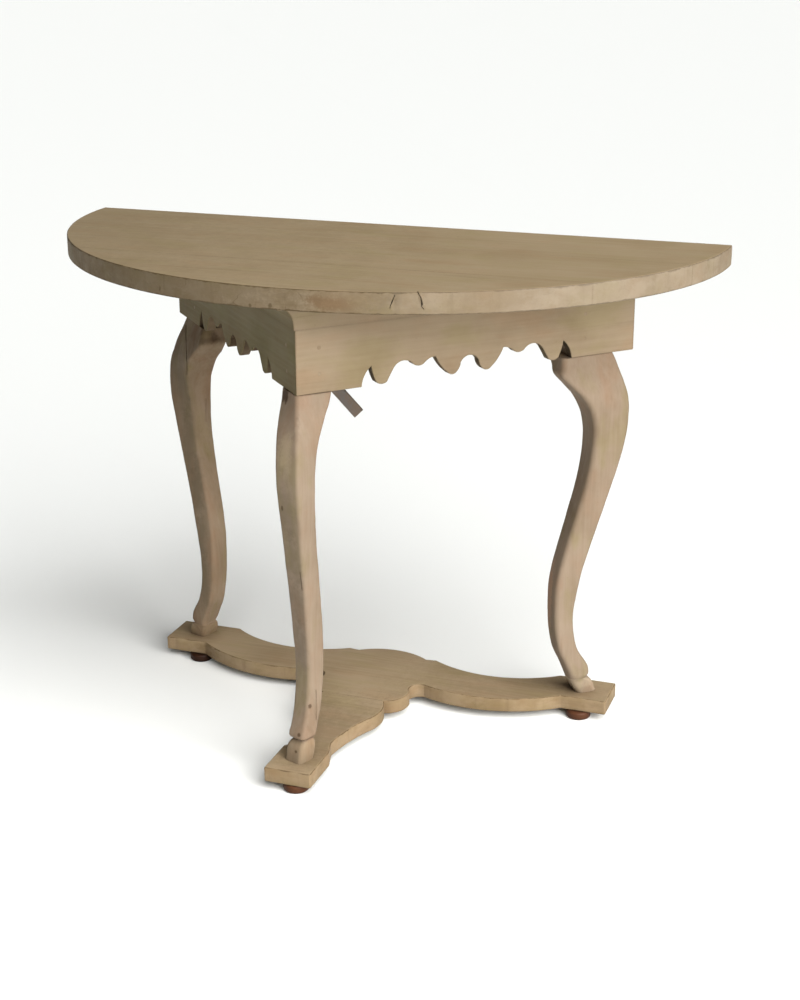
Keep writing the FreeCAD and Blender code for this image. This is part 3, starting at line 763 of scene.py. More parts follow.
@dataclass
class Piece:
    """A finished piece, with its finishes and the part of the frame that it stands for."""

    mesh: Mesh
    finish: WornWood | AgedIron
    nodes: tuple[str, ...]
    body: str = "table"
    trim: WornWood | None = None
    trimmed: Callable[[Face], bool] | None = None

    def dress(self, book: FinishBook) -> None:
        """Give the piece its materials and tie it to the frame.

        Args:
            book: the materials made so far.
        """
        self.mesh.data.materials.clear()
        for finish in (self.finish, self.trim):
            if finish is not None:
                self.mesh.data.materials.append(book.material(finish))
        for face in self.mesh.data.polygons:
            face.material_index = int(self.trimmed is not None and self.trimmed(face))
        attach(self.mesh, self.body)
        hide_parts(*self.nodes)
        faces = len(self.mesh.data.polygons)
        LOG.info("%s: %d faces, stands for %s", self.mesh.name, faces, ", ".join(self.nodes))


@dataclass(frozen=True)
class Check:
    """A drying crack: a thin cleft along a line on the surface."""

    line: tuple[Place, ...]
    inwards: Place
    width: float = 0.0008
    depth: float = 0.005

    def cut(self, piece: Mesh) -> None:
        """Cut the cleft into a piece.

        Args:
            piece: the piece that has cracked.
        """
        into = Vector(self.inwards).normalized()
        across = into.cross(Vector(self.line[-1]) - Vector(self.line[0])).normalized() * self.width
        outer = [Vector(spot) - into * self.depth - across / 2 for spot in self.line]
        inner = [Vector(spot) + into * self.depth - across / 2 for spot in reversed(self.line)]
        subtract(piece, slab("blade", [tuple(spot) for spot in outer + inner], tuple(across)))


# A face that tilts up or down less than this is upright.
UPRIGHT_TILT = 0.75


def upright(face: Face) -> bool:
    """Whether a face stands upright, as a board's edge does."""
    return abs(face.normal.z) < UPRIGHT_TILT


PALE = {
    "slot": "pale_wood",
    "light": (0.240, 0.184, 0.123),
    "middle": (0.213, 0.161, 0.104),
    "dark": (0.178, 0.131, 0.081),
    "bare": (0.072, 0.047, 0.026),
}
TOP_FINISH = WornWood(
    "washed_top", "top_wood", light=(0.321, 0.245, 0.150), middle=(0.301, 0.227, 0.135),
    dark=(0.272, 0.201, 0.115), bare=(0.10, 0.065, 0.034), streak=0.5, mottle=0.6, wear=0.75, rough=0.5,
    gloss=0.16, hue=0.35,
    # A broad darker patch over the left of the top: painted shade, darker away from the light.
    stains_and_shades=(Stain((-0.60, 0.0, 0.770), (0.75, 2.0, 1.0), 0.38, 0.1, (0.150, 0.116, 0.070)),),
)
RIM_BROWN = (0.120, 0.078, 0.038)
RIM_FINISH = WornRim(
    "worn_rim", "top_wood", light=(0.186, 0.142, 0.090), middle=(0.167, 0.126, 0.077),
    dark=(0.140, 0.102, 0.059), bare=(0.062, 0.042, 0.020), streak=0.3, mottle=0.8, wear=0.5, bump=0.6,
    patch=(0.203, 0.160, 0.109),
    stains_and_shades=(
        Stain((0.0776, -0.240, 0.7520), (0.038, 0.03, 0.0115), 0.80, 0.40, (0.150, 0.094, 0.052)),
        Stain((0.0560, -0.242, 0.7575), (0.012, 0.03, 0.0090), 0.70, 0.40, (0.135, 0.086, 0.048)),
        # A broad dark patch over the left of the rim: painted shade.
        Stain((-0.1400, -0.150, 0.7550), (0.360, 0.55, 0.3000), 0.38, 0.3),
        # A broad paler patch over the right of the rim: painted light.
        Stain((0.4000, 0.000, 0.7550), (0.330, 0.60, 0.3000), 0.36, 0.2, (0.226, 0.188, 0.146)),
        Stain((0.2670, -0.1790, 0.7545), (0.060, 0.06, 0.0400), 0.32, 0.3, RIM_BROWN),
        Stain((0.0900, -0.2400, 0.7545), (0.060, 0.06, 0.0400), 0.28, 0.3, RIM_BROWN),
        Stain((-0.1886, -0.2131, 0.7480), (0.003, 0.01, 0.0050), 0.60),
        Stain((-0.0373, -0.2441, 0.7425), (0.003, 0.01, 0.0030), 0.75),
        Stain((-0.0073, -0.2453, 0.7445), (0.003, 0.01, 0.0040), 0.70),
    ),
)
RIGHT_RAIL_FINISH = WornWood("paint_right_rail", grain=Grain.RIGHT_RAIL, streak=0.4, mottle=0.5, **PALE)
RAIL_FINISHES = {
    Side.RIGHT: RIGHT_RAIL_FINISH,
    # The left rail is the right rail's paint made darker and greener: painted shade.
    Side.LEFT: replace(RIGHT_RAIL_FINISH, grain=Grain.LEFT_RAIL).toned("painted_shade_left_rail", 0.67, 0.71, 0.57),
}
# Sawn faces of the scallops: dark bare wood, darkened further as painted shade inside the scallops.
SAWN_DARK_AND_SHADE_FINISH = WornWood(
    "sawn_scallops_dark_and_shade", "pale_wood", light=(0.135, 0.097, 0.060), middle=(0.092, 0.064, 0.038),
    dark=(0.055, 0.036, 0.020), bare=(0.03, 0.019, 0.011), streak=0.4, mottle=0.8, rough=0.75,
)
# Colour of painted shade on the legs' shaded left facets.
OLIVE_SHADE = (0.080, 0.066, 0.040)
DEEP_BROWN = (0.050, 0.028, 0.013)
LEG_FINISH = WornWood(
    "paint_legs", "pale_wood", light=(0.223, 0.170, 0.123), middle=(0.193, 0.144, 0.100),
    dark=(0.152, 0.109, 0.071), bare=(0.060, 0.036, 0.020), grain=Grain.UPRIGHT, streak=0.5, mottle=0.5,
    grime_and_shade=0.12, hue=0.9,
    stains_and_shades=(
        Stain((0.0101, -0.1826, 0.1223), (0.0032, 0.004, 0.0040), 0.85),
        Stain((0.0009, -0.2053, 0.0834), (0.0040, 0.004, 0.0034), 0.85),
        Stain((-0.0034, -0.2082, 0.0558), (0.0030, 0.004, 0.0034), 0.85),
        Stain((-0.0159, -0.2058, 0.4416), (0.0030, 0.004, 0.0050), 0.85),
        Stain((-0.0270, -0.1570, 0.5960), (0.0125, 0.014, 0.0135), 0.95, 0.55, DEEP_BROWN),
        Stain((-0.0228, -0.1617, 0.5860), (0.0040, 0.007, 0.0100), 0.85, 0.5, DEEP_BROWN),
        Stain((-0.2839, 0.1432, 0.5866), (0.0100, 0.012, 0.0120), 0.65),
        Stain((-0.3010, 0.1440, 0.5950), (0.0080, 0.012, 0.0100), 0.55),
        # Olive patches down the front leg's left facet: painted shade.
        Stain((-0.0080, -0.2120, 0.4300), (0.017, 0.022, 0.060), 0.30, 0.4, OLIVE_SHADE),
        Stain((-0.0060, -0.2030, 0.3500), (0.017, 0.022, 0.065), 0.30, 0.4, OLIVE_SHADE),
        Stain((-0.0070, -0.1930, 0.2750), (0.017, 0.022, 0.065), 0.30, 0.4, OLIVE_SHADE),
        Stain((-0.0080, -0.1840, 0.2050), (0.017, 0.022, 0.060), 0.28, 0.4, OLIVE_SHADE),
        # Paler patch on the front leg's upper left facet: painted light.
        Stain((-0.0100, -0.2030, 0.5250), (0.018, 0.018, 0.040), 0.50, 0.4, (0.300, 0.235, 0.150)),
        # Paler reddish patch on the right leg's shaded inner side: painted light.
        Stain((0.2870, 0.1480, 0.2200), (0.012, 0.025, 0.100), 0.60, 0.4, (0.360, 0.215, 0.135)),
        # Olive patches down the left leg's left facet: painted shade.
        Stain((-0.3585, 0.1640, 0.4900), (0.020, 0.030, 0.070), 0.36, 0.4, OLIVE_SHADE),
        Stain((-0.3500, 0.1580, 0.4000), (0.020, 0.028, 0.075), 0.38, 0.4, OLIVE_SHADE),
        Stain((-0.3330, 0.1480, 0.3200), (0.018, 0.026, 0.075), 0.42, 0.4, OLIVE_SHADE),
        Stain((-0.3240, 0.1360, 0.2350), (0.017, 0.026, 0.075), 0.42, 0.4, OLIVE_SHADE),
        Stain((-0.3180, 0.1290, 0.1500), (0.016, 0.026, 0.075), 0.42, 0.4, OLIVE_SHADE),
        # Paler patch on the left leg's lit facet: painted light.
        Stain((-0.3300, 0.1820, 0.4500), (0.016, 0.016, 0.090), 0.35, 0.4, (0.235, 0.170, 0.115)),
    ),
)
# The left leg's paint, darker and browner: partly its own tone, partly painted shade.
LEFT_LEG_TONE_AND_SHADE = LEG_FINISH.toned("left_leg_tone_and_painted_shade", 0.90, 0.87, 0.81)
# The hooves are the leg paint made lighter: painted light against the shade that the leg's bulge casts on
# them.
RIGHT_HOOF_PAINTED_LIGHT = LEG_FINISH.toned("right_hoof_painted_light", 1.40, 1.46, 1.47)
FRONT_HOOF_PAINTED_LIGHT = LEG_FINISH.toned("front_hoof_painted_light", 1.14, 1.15, 1.08)
LEFT_HOOF_PAINTED_LIGHT = LEFT_LEG_TONE_AND_SHADE.toned("left_hoof_painted_light", 1.34, 1.34, 1.30)
PLATFORM_FINISH = WornWood(
    "wash_platform", "platform_wood", light=(0.325, 0.246, 0.156), middle=(0.294, 0.220, 0.134),
    dark=(0.248, 0.181, 0.105), bare=(0.095, 0.062, 0.032), streak=0.5, mottle=0.5, shift=(0.3, 0.7, 0.1),
    stains_and_shades=(
        Stain((0.01, -0.10, 0.0375), (0.16, 0.15, 0.05), 0.36, 0.2),
        Stain((0.27, 0.13, 0.0375), (0.26, 0.20, 0.05), 0.26, 0.2),
    ),
    hue=0.45,
)
PLATFORM_EDGE = WornRim(
    "sawn_platform_edge", "platform_wood", light=(0.234, 0.168, 0.098), middle=(0.206, 0.146, 0.081),
    dark=(0.165, 0.111, 0.058), bare=(0.070, 0.044, 0.022), streak=0.3, mottle=0.7, wear=0.5,
    patch=(0.25, 0.183, 0.112), low=0.0135, high=0.0375, arris=0.0011, checks=0.35,
)
PLAIN_FINISH = WornWood(
    "bare_softwood", "plain_wood", light=(0.36, 0.26, 0.155), middle=(0.29, 0.20, 0.115),
    dark=(0.21, 0.14, 0.075), bare=(0.09, 0.055, 0.03), streak=0.8, mottle=0.3, wear=0.3, rough=0.7,
)
FOOT_FINISH = WornWood(
    "stained_feet", "dark_wood", light=(0.125, 0.050, 0.025), middle=(0.080, 0.031, 0.015),
    dark=(0.040, 0.015, 0.008), bare=(0.02, 0.008, 0.005), streak=0.4, mottle=0.6, wear=0.3, rough=0.42,
    bump=0.2,
)
# The left foot's finish, much darker than the others: painted shade.
LEFT_FOOT_PAINTED_SHADE = FOOT_FINISH.toned("left_foot_painted_shade", 0.42, 0.42, 0.42)
DOWEL_FINISH = WornWood(
    "beech_dowels", "dowel_wood", light=(0.46, 0.33, 0.20), middle=(0.40, 0.28, 0.165),
    dark=(0.33, 0.22, 0.12), bare=(0.16, 0.10, 0.05), grain=Grain.DEEP, streak=0.7, mottle=0.3, wear=0.2,
)
BAR_FINISH = AgedIron(
    "bar_iron", "bar_iron", metal=(0.15, 0.13, 0.115), bloom=(0.19, 0.14, 0.105), metallic=0.35,
)
SCREW_FINISH = AgedIron(
    "aged_screws", "screw_steel", metal=(0.30, 0.29, 0.27), bloom=(0.16, 0.11, 0.075), metallic=0.8,
)
NAIL_FINISH = WornWood("painted_nails", **{**PALE, "slot": "nail_iron"}, streak=0.2, mottle=0.8, wear=0.3)

# Drying cracks in the rim, board by board.
RIM_CHECKS: dict[str, tuple[Check, ...]] = {
    "front": (
        Check(
            ((0.1625, -0.2216, 0.7665), (0.1600, -0.2222, 0.7595), (0.1575, -0.2230, 0.7560),
             (0.1560, -0.2234, 0.7480)),
            (-0.25, 0.97, 0.0), 0.0009, 0.004,
        ),
        Check(
            ((0.1905, -0.2120, 0.7712), (0.1950, -0.2108, 0.7630), (0.1925, -0.2115, 0.7545),
             (0.1990, -0.2090, 0.7470)),
            (-0.32, 0.95, 0.0), 0.0010, 0.005,
        ),
    ),
}


@dataclass
class TableTop:
    """Half-oval top of three boards with a straight back."""

    half_width: float = 0.530
    depth: float = 0.491
    thickness: float = 0.031
    back: float = 0.2455
    joints: tuple[float, float] = (0.326, 0.161)
    arris: float = 0.0022
    facets: int = 360
    checks: dict[str, tuple[Check, ...]] = field(default_factory=lambda: RIM_CHECKS)

    def build(self) -> list[Piece]:
        """Cut the three boards out of one oval each.

        Returns:
            The boards, front first.
        """
        front, back = (self.back - joint for joint in self.joints)
        spans = (("front", None, front), ("middle", front, back), ("back", back, self.back))
        return [self.board(word, low, high) for word, low, high in spans]

    def board(self, word: str, low: float | None, high: float) -> Piece:
        """One board between two lines across the oval.

        Args:
            word: which board it is.
            low: its front line, or None at the front of the oval.
            high: its back line.

        Returns:
            The finished board.
        """
        deselect()
        centre = (0.0, self.back, TOP_HEIGHT - self.thickness / 2)
        bpy.ops.mesh.primitive_cylinder_add(
            vertices=self.facets, radius=1.0, depth=self.thickness, location=centre,
        )
        board = added(f"board_{word}")
        board.scale = (self.half_width, self.depth, 1.0)
        settle()
        ease(board, self.arris, 3)
        saw(board, (0.0, high, 0.0), (0.0, 1.0, 0.0))
        if low is not None:
            saw(board, (0.0, low, 0.0), (0.0, -1.0, 0.0))
        smooth(board, FLAT_ANGLE)
        for check in self.checks.get(word, ()):
            check.cut(board)
        return Piece(board, TOP_FINISH, (f"top_board_{word}",), trim=RIM_FINISH, trimmed=upright)


# One half of the scallop, from its middle outwards: the end of each arc and a point on it, along as a share
# of the scallop's half length and up as a share of its rise.
SCALLOP_START = (0.085, 0.55)
SCALLOP_CROWN = 0.84
SCALLOP = (
    (0.130, 0.080, 0.102, 0.260),
    (0.204, 0.113, 0.164, 0.010),
    (0.323, 1.000, 0.269, 0.484),
    (0.431, 0.726, 0.380, 0.935),
    (0.527, 0.758, 0.479, 0.655),
    (0.703, 0.758, 0.612, 1.000),
    (0.771, 0.097, 0.739, 0.420),
    (0.867, 0.129, 0.819, 0.016),
    (0.914, 0.935, 0.895, 0.484),
    (1.000, 0.000, 0.969, 0.581),
)


@dataclass
class Apron:
    """Scalloped front rails with their cove mouldings and nails."""

    scallop_centre: float = 0.279
    scallop_half: float = 0.1765
    scallop_rise: float = 0.031
    cove_height: float = 0.043
    cove_projection: float = 0.040
    cove_lip: float = 0.0025
    overrun: float = 0.05
    arris: float = 0.0012
    sawn_tilt: float = 0.3
    nail_radius: float = 0.003
    nail_sink: float = 0.001
    nail_shoulder: float = 0.00022
    nail_crown: float = 0.0003
    nail_flat: float = 0.8
    nail_facets: int = 20
    nail_heights: tuple[float, float] = (0.028, 0.066)
    nail_places: tuple[float, float] = (0.0364, 0.478)

    def build(self) -> list[Piece]:
        """Make every piece of the apron.

        Returns:
            The pieces in order.
        """
        pieces = []
        for side in Side:
            pieces.append(self.rail(side))
            pieces.append(self.cove(side))
        pieces.append(self.nails())
        return pieces

    def scallop_point(self, direction: int, along: float, up: float) -> Flat:
        """A point of the scalloped edge along the rail and above the floor."""
        reach = direction * along * self.scallop_half
        return (self.scallop_centre + reach, APRON_BOTTOM + up * self.scallop_rise)

    def edge(self) -> list[Flat]:
        """The scalloped lower edge from the front corner outwards.

        Returns:
            Its points along the rail.
        """
        half = [SCALLOP_START, *SCALLOP]
        points = [self.scallop_point(-1, *half[-1][:2])]
        for near, far in reversed(list(zip(half, half[1:]))):
            points += arc(points[-1], self.scallop_point(-1, *far[2:]), self.scallop_point(-1, *near[:2]))
        crown = self.scallop_point(1, 0.0, SCALLOP_CROWN)
        points += arc(points[-1], crown, self.scallop_point(1, *SCALLOP_START))
        for near, far in zip(half, half[1:]):
            points += arc(points[-1], self.scallop_point(1, *far[2:]), self.scallop_point(1, *far[:2]))
        return points

    def fit(self, piece: Mesh, side: Side) -> None:
        """Set a piece along its rail and cut its mitre and its back end.

        Args:
            piece: the piece, drawn along the first axis from the front corner.
            side: which rail it belongs to.
        """
        turn_to(piece, side.turn, (0.0, APEX_Y, 0.0))
        saw(piece, (0.0, 0.0, 0.0), (-side.value, 0.0, 0.0))
        saw(piece, (0.0, RAIL_BACK, 0.0), (0.0, 1.0, 0.0))

    def rail(self, side: Side) -> Piece:
        """One scalloped front rail.

        Args:
            side: which rail it is.

        Returns:
            The finished rail.
        """
        face = [(-self.overrun, APRON_BOTTOM), *self.edge(), (RAIL_LENGTH + self.overrun, APRON_BOTTOM),
                (RAIL_LENGTH + self.overrun, UNDERSIDE), (-self.overrun, UNDERSIDE)]
        outline = [(side.value * along, 0.0, up) for along, up in face]
        rail = slab(f"rail_{side.word}", outline, (0.0, RAIL_THICKNESS, 0.0))
        self.fit(rail, side)
        ease(rail, self.arris)
        front = Vector((side.value * math.sin(RAIL_TURN), -math.cos(RAIL_TURN), 0.0))
        limit = APRON_BOTTOM + self.scallop_rise + self.arris

        def sawn(face: Face) -> bool:
            """Whether a face belongs to the scalloped edge."""
            return face.center.z < limit and abs(face.normal.dot(front)) < self.sawn_tilt

        return Piece(rail, RAIL_FINISHES[side], (f"apron_rail_{side.word}",), trim=SAWN_DARK_AND_SHADE_FINISH, trimmed=sawn)

    def cove(self, side: Side) -> Piece:
        """The hollow moulding between one rail and the top.

        Args:
            side: which rail it lies on.

        Returns:
            The finished moulding.
        """
        low, high = UNDERSIDE - self.cove_height, UNDERSIDE
        out, lip = self.cove_projection, self.cove_lip
        start, finish = (-lip, low + lip), (-out, high - lip)
        bend = math.sqrt(0.5)
        crown = (-out + (out - lip) * bend, high - lip - (self.cove_height - 2 * lip) * (1 - bend))
        profile = [(0.0, low), (-lip, low), start, *arc(start, crown, finish, 16), (-out, high), (0.0, high)]
        outline = [(-side.value * self.overrun, inwards, up) for inwards, up in profile]
        length = RAIL_LENGTH + 2 * self.overrun
        cove = slab(f"cove_{side.word}", outline, (side.value * length, 0.0, 0.0))
        self.fit(cove, side)
        ease(cove, self.arris / 2, 1)
        return Piece(cove, RAIL_FINISHES[side], (f"cove_moulding_{side.word}",))

    def nails(self) -> Piece:
        """Low painted heads of the nails through the rails.

        Returns:
            All heads as one piece.
        """
        heads = []
        radius, sink = self.nail_radius, self.nail_sink
        profile = [(0.0, -sink), (radius, -sink), (radius, 0.0)]
        profile += [(radius * self.nail_flat, self.nail_shoulder), (0.0, self.nail_crown)]
        for side in Side:
            for along in self.nail_places:
                for up in self.nail_heights:
                    head = turning(f"nail_{len(heads)}", profile, (0.0, 0.0, 0.0), self.nail_facets)
                    head.rotation_euler = (math.pi / 2, 0.0, 0.0)
                    settle()
                    turn_to(head, 0.0, (side.value * along, 0.0, APRON_BOTTOM + up))
                    turn_to(head, side.turn, (0.0, APEX_Y, 0.0))
                    smooth(head)
                    heads.append(head)
        nails = join(heads)
        nails.name = nails.data.name = "nail_heads"
        return Piece(nails, NAIL_FINISH, ("rail_nails",))


# Hoof, from the platform up to the nick: height, width and depth shares, and how far it follows the leg.
HOOF = (
    (0.00, 1.03, 1.04, 0.00),
    (0.45, 1.05, 1.06, 0.36),
    (0.80, 1.00, 1.00, 0.66),
    (1.00, 0.80, 0.90, 1.00),
)
# Side legs: height, along and out from the leg's line, width and depth, as shares.
SIDE_LEG = (
    (0.058, -0.150, -0.17, 0.42, 0.72),
    (0.070, -0.132, -0.18, 0.52, 0.80),
    (0.095, -0.185, -0.24, 0.58, 0.80),
    (0.150, -0.41, -0.39, 0.51, 0.77),
    (0.235, -0.50, -0.49, 0.51, 0.76),
    (0.360, -0.39, -0.51, 0.64, 0.77),
    (0.500, -0.06, -0.44, 0.70, 0.80),
    (0.640, 0.29, -0.35, 0.74, 0.87),
    (0.760, 0.49, -0.32, 0.86, 0.98),
    (0.830, 0.49, -0.33, 1.01, 1.00),
    (0.885, 0.36, -0.34, 1.27, 0.92),
    (0.925, 0.17, -0.40, 1.54, 0.76),
    (0.955, 0.03, -0.54, 1.70, 0.72),
    (0.975, 0.04, -0.76, 1.60, 0.86),
    (1.000, 0.02, -1.00, 1.48, 1.02),
)
# Front leg: height, inwards and side, as shares, and its twist in degrees.
FRONT_LEG = (
    (0.058, 0.325, 0.47, 24.0),
    (0.070, 0.285, 0.62, 24.0),
    (0.095, 0.42, 0.61, 24.0),
    (0.150, 0.66, 0.61, 22.0),
    (0.235, 0.79, 0.63, 21.0),
    (0.360, 0.72, 0.67, 23.0),
    (0.500, 0.56, 0.70, 27.0),
    (0.640, 0.39, 0.75, 29.0),
    (0.760, 0.28, 0.82, 30.0),
    (0.830, 0.31, 0.86, 28.0),
    (0.885, 0.43, 0.89, 22.0),
    (0.940, 0.70, 0.95, 11.0),
    (0.975, 0.91, 1.00, 3.0),
    (1.000, 1.00, 1.02, 0.0),
)

# Drying cracks in the legs.
LEFT_CHECKS = (
    Check(
        ((-0.3603, 0.1952, 0.5905), (-0.3513, 0.1756, 0.5753), (-0.3416, 0.1562, 0.5585),
         (-0.3359, 0.1449, 0.5414), (-0.3434, 0.1573, 0.5154)),
        (-0.34, 0.94, 0.0), 0.0012, 0.006,
    ),
    Check(
        ((-0.3294, 0.1958, 0.4665), (-0.3288, 0.1926, 0.4463), (-0.3275, 0.1881, 0.4266)),
        (-0.94, 0.32, 0.0), 0.0008, 0.004,
    ),
)
FRONT_CHECKS = (
    Check(
        ((0.0053, -0.1962, 0.3425), (0.0056, -0.1940, 0.3292), (0.0057, -0.1914, 0.3126)),
        (0.29, 0.94, 0.0), 0.0010, 0.004,
    ),
    Check(
        ((0.0142, -0.1677, 0.1426), (0.0163, -0.1702, 0.1192), (0.0174, -0.1780, 0.0981)),
        (-0.91, 0.38, 0.0), 0.0008, 0.004,
    ),
)


@dataclass(frozen=True)
class Ring:
    """One level of a leg: its centre, width, depth and twist."""

    centre: Place
    width: float
    depth: float
    turn: float = 0.0


@dataclass
class Leg:
    """Cabriole leg with a nicked hoof, worked up from the platform ring by ring."""

    name: str
    node: str
    turn: float = 0.0
    place: Place = (0.0, APEX_Y, 0.0)
    hoof_height: float = 0.033
    hoof_width: float = 0.034
    hoof_depth: float = 0.037
    leg_round: float = 0.0065
    round_steps: int = 6
    nick_gap: float = 0.0012
    unevenness: float = 0.0020
    uneven_size: float = 0.05
    crease: float = 50.0
    post_seat: float = 0.004
    post_arris: float = 0.0015
    parts: int = 5
    rings: list[Ring] = field(default_factory=list)
    post: tuple[Flat, ...] = ()
    checks: tuple[Check, ...] = ()
    finish: WornWood = LEG_FINISH
    # Finish of the hoof, lighter than the leg's: painted light.
    hoof_painted_light: WornWood = RIGHT_HOOF_PAINTED_LIGHT

    def build(self) -> list[Piece]:
        """Work the leg up, round it and add its post.

        Returns:
            The finished leg.
        """
        leg = self.shaft()
        waver(leg, self.unevenness, self.uneven_size)
        smooth(leg, self.crease)
        foot = APRON_BOTTOM - self.post_seat
        outline = [(x, y, foot) for x, y in self.post]
        post = slab(f"{self.name}_post", outline, (0.0, 0.0, UNDERSIDE - foot))
        ease(post, self.post_arris)
        leg = join([leg, post])
        turn_to(leg, self.turn, self.place)
        leg.name = leg.data.name = self.name
        for check in self.checks:
            check.cut(leg)
        return [Piece(leg, self.finish, (self.node,), trim=self.hoof_painted_light, trimmed=self.below_nick)]

    def below_nick(self, face: Face) -> bool:
        """Whether a face belongs to the hoof."""
        return face.center.z < PLATFORM_TOP + self.hoof_height

    def shaft(self) -> Mesh:
        """Pull the leg up through its rings and round its arrises.

        Returns:
            The closed shaft from the platform to the rail.
        """
        deselect()
        first = self.rings[0]
        bpy.ops.mesh.primitive_plane_add(size=1.0, location=first.centre)
        leg = added(self.name)
        leg.scale = (first.width, first.depth, 1.0)
        leg.rotation_euler = (0.0, 0.0, first.turn)
        settle()
        edit_all()
        for here, there in zip(self.rings, self.rings[1:]):
            pull(Vector(there.centre) - Vector(here.centre))
            bpy.ops.transform.rotate(value=here.turn, orient_axis="Z", center_override=there.centre)
            bpy.ops.transform.resize(
                value=(there.width / here.width, there.depth / here.depth, 1.0), center_override=there.centre,
            )
            bpy.ops.transform.rotate(value=-there.turn, orient_axis="Z", center_override=there.centre)
        face_out()
        self.round_arrises(leg)
        apply(leg, "SUBSURF", subdivision_type="SIMPLE", levels=1, render_levels=1)
        return leg

    def round_arrises(self, leg: Mesh) -> None:
        """Round the four long arrises of the shaft.

        Args:
            leg: the shaft, in edit mode.
        """
        bpy.ops.mesh.select_mode(type="EDGE")
        bpy.ops.mesh.select_all(action="DESELECT")
        bpy.ops.object.mode_set(mode="OBJECT")
        spots = leg.data.vertices
        for edge in leg.data.edges:
            low, high = (spots[number].co.z for number in edge.vertices)
            edge.select = abs(high - low) > 10 * MERGE_GAP
        bpy.ops.object.mode_set(mode="EDIT")
        bpy.ops.mesh.bevel(
            offset=self.leg_round, segments=self.round_steps, affect="EDGES", clamp_overlap=True,
        )
        bpy.ops.mesh.select_mode(type="VERT")
        bpy.ops.object.mode_set(mode="OBJECT")


def leg_rise(share: float, low: float, hoof: float) -> float:
    """Height of a leg's level above the floor, from its share between the nick and the rail."""
    return PLATFORM_TOP + hoof + (share - low) / (1 - low) * (APRON_BOTTOM - PLATFORM_TOP - hoof)


@dataclass
class SideLeg(Leg):
    """Leg whose curve lies along a front rail, with an ear under the rail."""

    side: Side = Side.RIGHT
    leg_reach: float = 0.486
    leg_out: float = 0.013
    leg_sweep: float = 0.067
    leg_lean: float = 0.039
    knee_width: float = 0.062
    knee_depth: float = 0.050
    foot_reach: float = 0.504
    foot_in: float = 0.003
    hoof_shift: float = 0.005
    ear_growth: float = 0.0
    ear_depth: float = 0.0
    ear_rise: float = 0.075
    twist: float = 0.0
    twist_low: float = 0.76
    twist_high: float = 0.90
    girth: float = 1.0
    post_box: tuple[float, float, float] = (0.460, 0.036, 0.035)

    def __post_init__(self) -> None:
        """Work out the rings and the post."""
        hand = self.side.value
        self.turn = self.side.turn
        reach = self.foot_reach - hand * self.hoof_shift * math.cos(RAIL_TURN)
        inwards = self.foot_in + hand * self.hoof_shift * math.sin(RAIL_TURN)
        low = SIDE_LEG[0]
        nick = (self.leg_reach + low[1] * self.leg_sweep, -self.leg_out - low[2] * self.leg_lean)
        for height, width, depth, follow in between(HOOF, 2):
            centre = (hand * (reach + follow * (nick[0] - reach)), inwards + follow * (nick[1] - inwards),
                      PLATFORM_TOP + height * self.hoof_height)
            self.rings.append(Ring(centre, width * self.hoof_width, depth * self.hoof_depth, self.twist))
        for height, along, out, width, depth in between(SIDE_LEG, self.parts):
            ear = self.ear_growth * max(0.0, width - 1)
            deep = self.ear_depth * max(0.0, width - 1) * min(1.0, (1 - height) / self.ear_rise)
            fade = min(1.0, max(0.0, (self.twist_high - height) / (self.twist_high - self.twist_low)))
            girth = 1 + (self.girth - 1) * fade
            centre = (hand * (self.leg_reach + along * self.leg_sweep - ear / 2),
                      -self.leg_out - out * self.leg_lean + deep / 2,
                      leg_rise(height, low[0], self.hoof_height + self.nick_gap))
            wide = girth * width * self.knee_width + ear
            thick = girth * depth * self.knee_depth + deep
            self.rings.append(Ring(centre, wide, thick, self.twist * fade))
        start, width, depth = self.post_box
        self.post = tuple((hand * (start + x * width), RAIL_THICKNESS + y * depth)
                          for x, y in ((0, 0), (1, 0), (1, 1), (0, 1)))


@dataclass
class FrontLeg(Leg):
    """Leg set cornerwise under the front corner."""

    leg_out: float = 0.028
    leg_sweep: float = 0.067
    leg_side: float = 0.055
    foot_out: float = 0.011
    hoof_shift: float = 0.005
    post_side: float = 0.041
    slim: float = 0.05

    def __post_init__(self) -> None:
        """Work out the rings and the post, in a frame turned by an eighth."""
        self.turn = math.pi / 4
        low = FRONT_LEG[0]
        nick = -self.leg_out + low[1] * self.leg_sweep
        for height, width, _, follow in between(HOOF, 2):
            spot = (self.hoof_shift * (follow - 1), -self.foot_out + follow * (nick + self.foot_out))
            size = width * self.hoof_width * (1 - self.slim)
            centre = (*self.eighth(*spot), PLATFORM_TOP + height * self.hoof_height)
            self.rings.append(Ring(centre, size, size, math.radians(low[3])))
        for height, inwards, breadth, twist in between(FRONT_LEG, self.parts):
            spot = self.eighth(0.0, -self.leg_out + inwards * self.leg_sweep)
            centre = (*spot, leg_rise(height, low[0], self.hoof_height + self.nick_gap))
            size = breadth * self.leg_side * (1 - self.slim * twist / low[3])
            self.rings.append(Ring(centre, size, size, math.radians(twist)))
        inside = RAIL_THICKNESS / math.cos(RAIL_TURN)
        wide, deep = self.post_side * math.cos(RAIL_TURN), self.post_side * math.sin(RAIL_TURN)
        corners = ((0.0, inside), (wide, inside + deep), (0.0, inside + 2 * deep), (-wide, inside + deep))
        self.post = tuple(self.eighth(*corner) for corner in corners)

    def eighth(self, x: float, y: float) -> Flat:
        """A point turned back by an eighth."""
        bend = math.sqrt(0.5)
        return (bend * (x + y), bend * (y - x))


# Platform outline on its right side: across as shares of its half span, forward from the back edge of the
# side pads as shares of its run. An arc's end comes first, then a point on it.
BUMP_CROWN = -0.012
BUMP_END = (0.156, 0.032)
LIP = (0.201, 0.027)
ARM_BACK = (0.744, 0.432, 0.089)
ARM_FRONT = (0.229, 0.242, 0.477, 0.273)
BITE = (0.1935, 0.3125, 0.183, 0.2665)
LOBE = (0.1206, 0.4134, 0.181, 0.372)
SHOULDER = (0.1156, 0.567, 0.143, 0.492)
WAIST = (0.0553, 0.7686, 0.0729, 0.679)


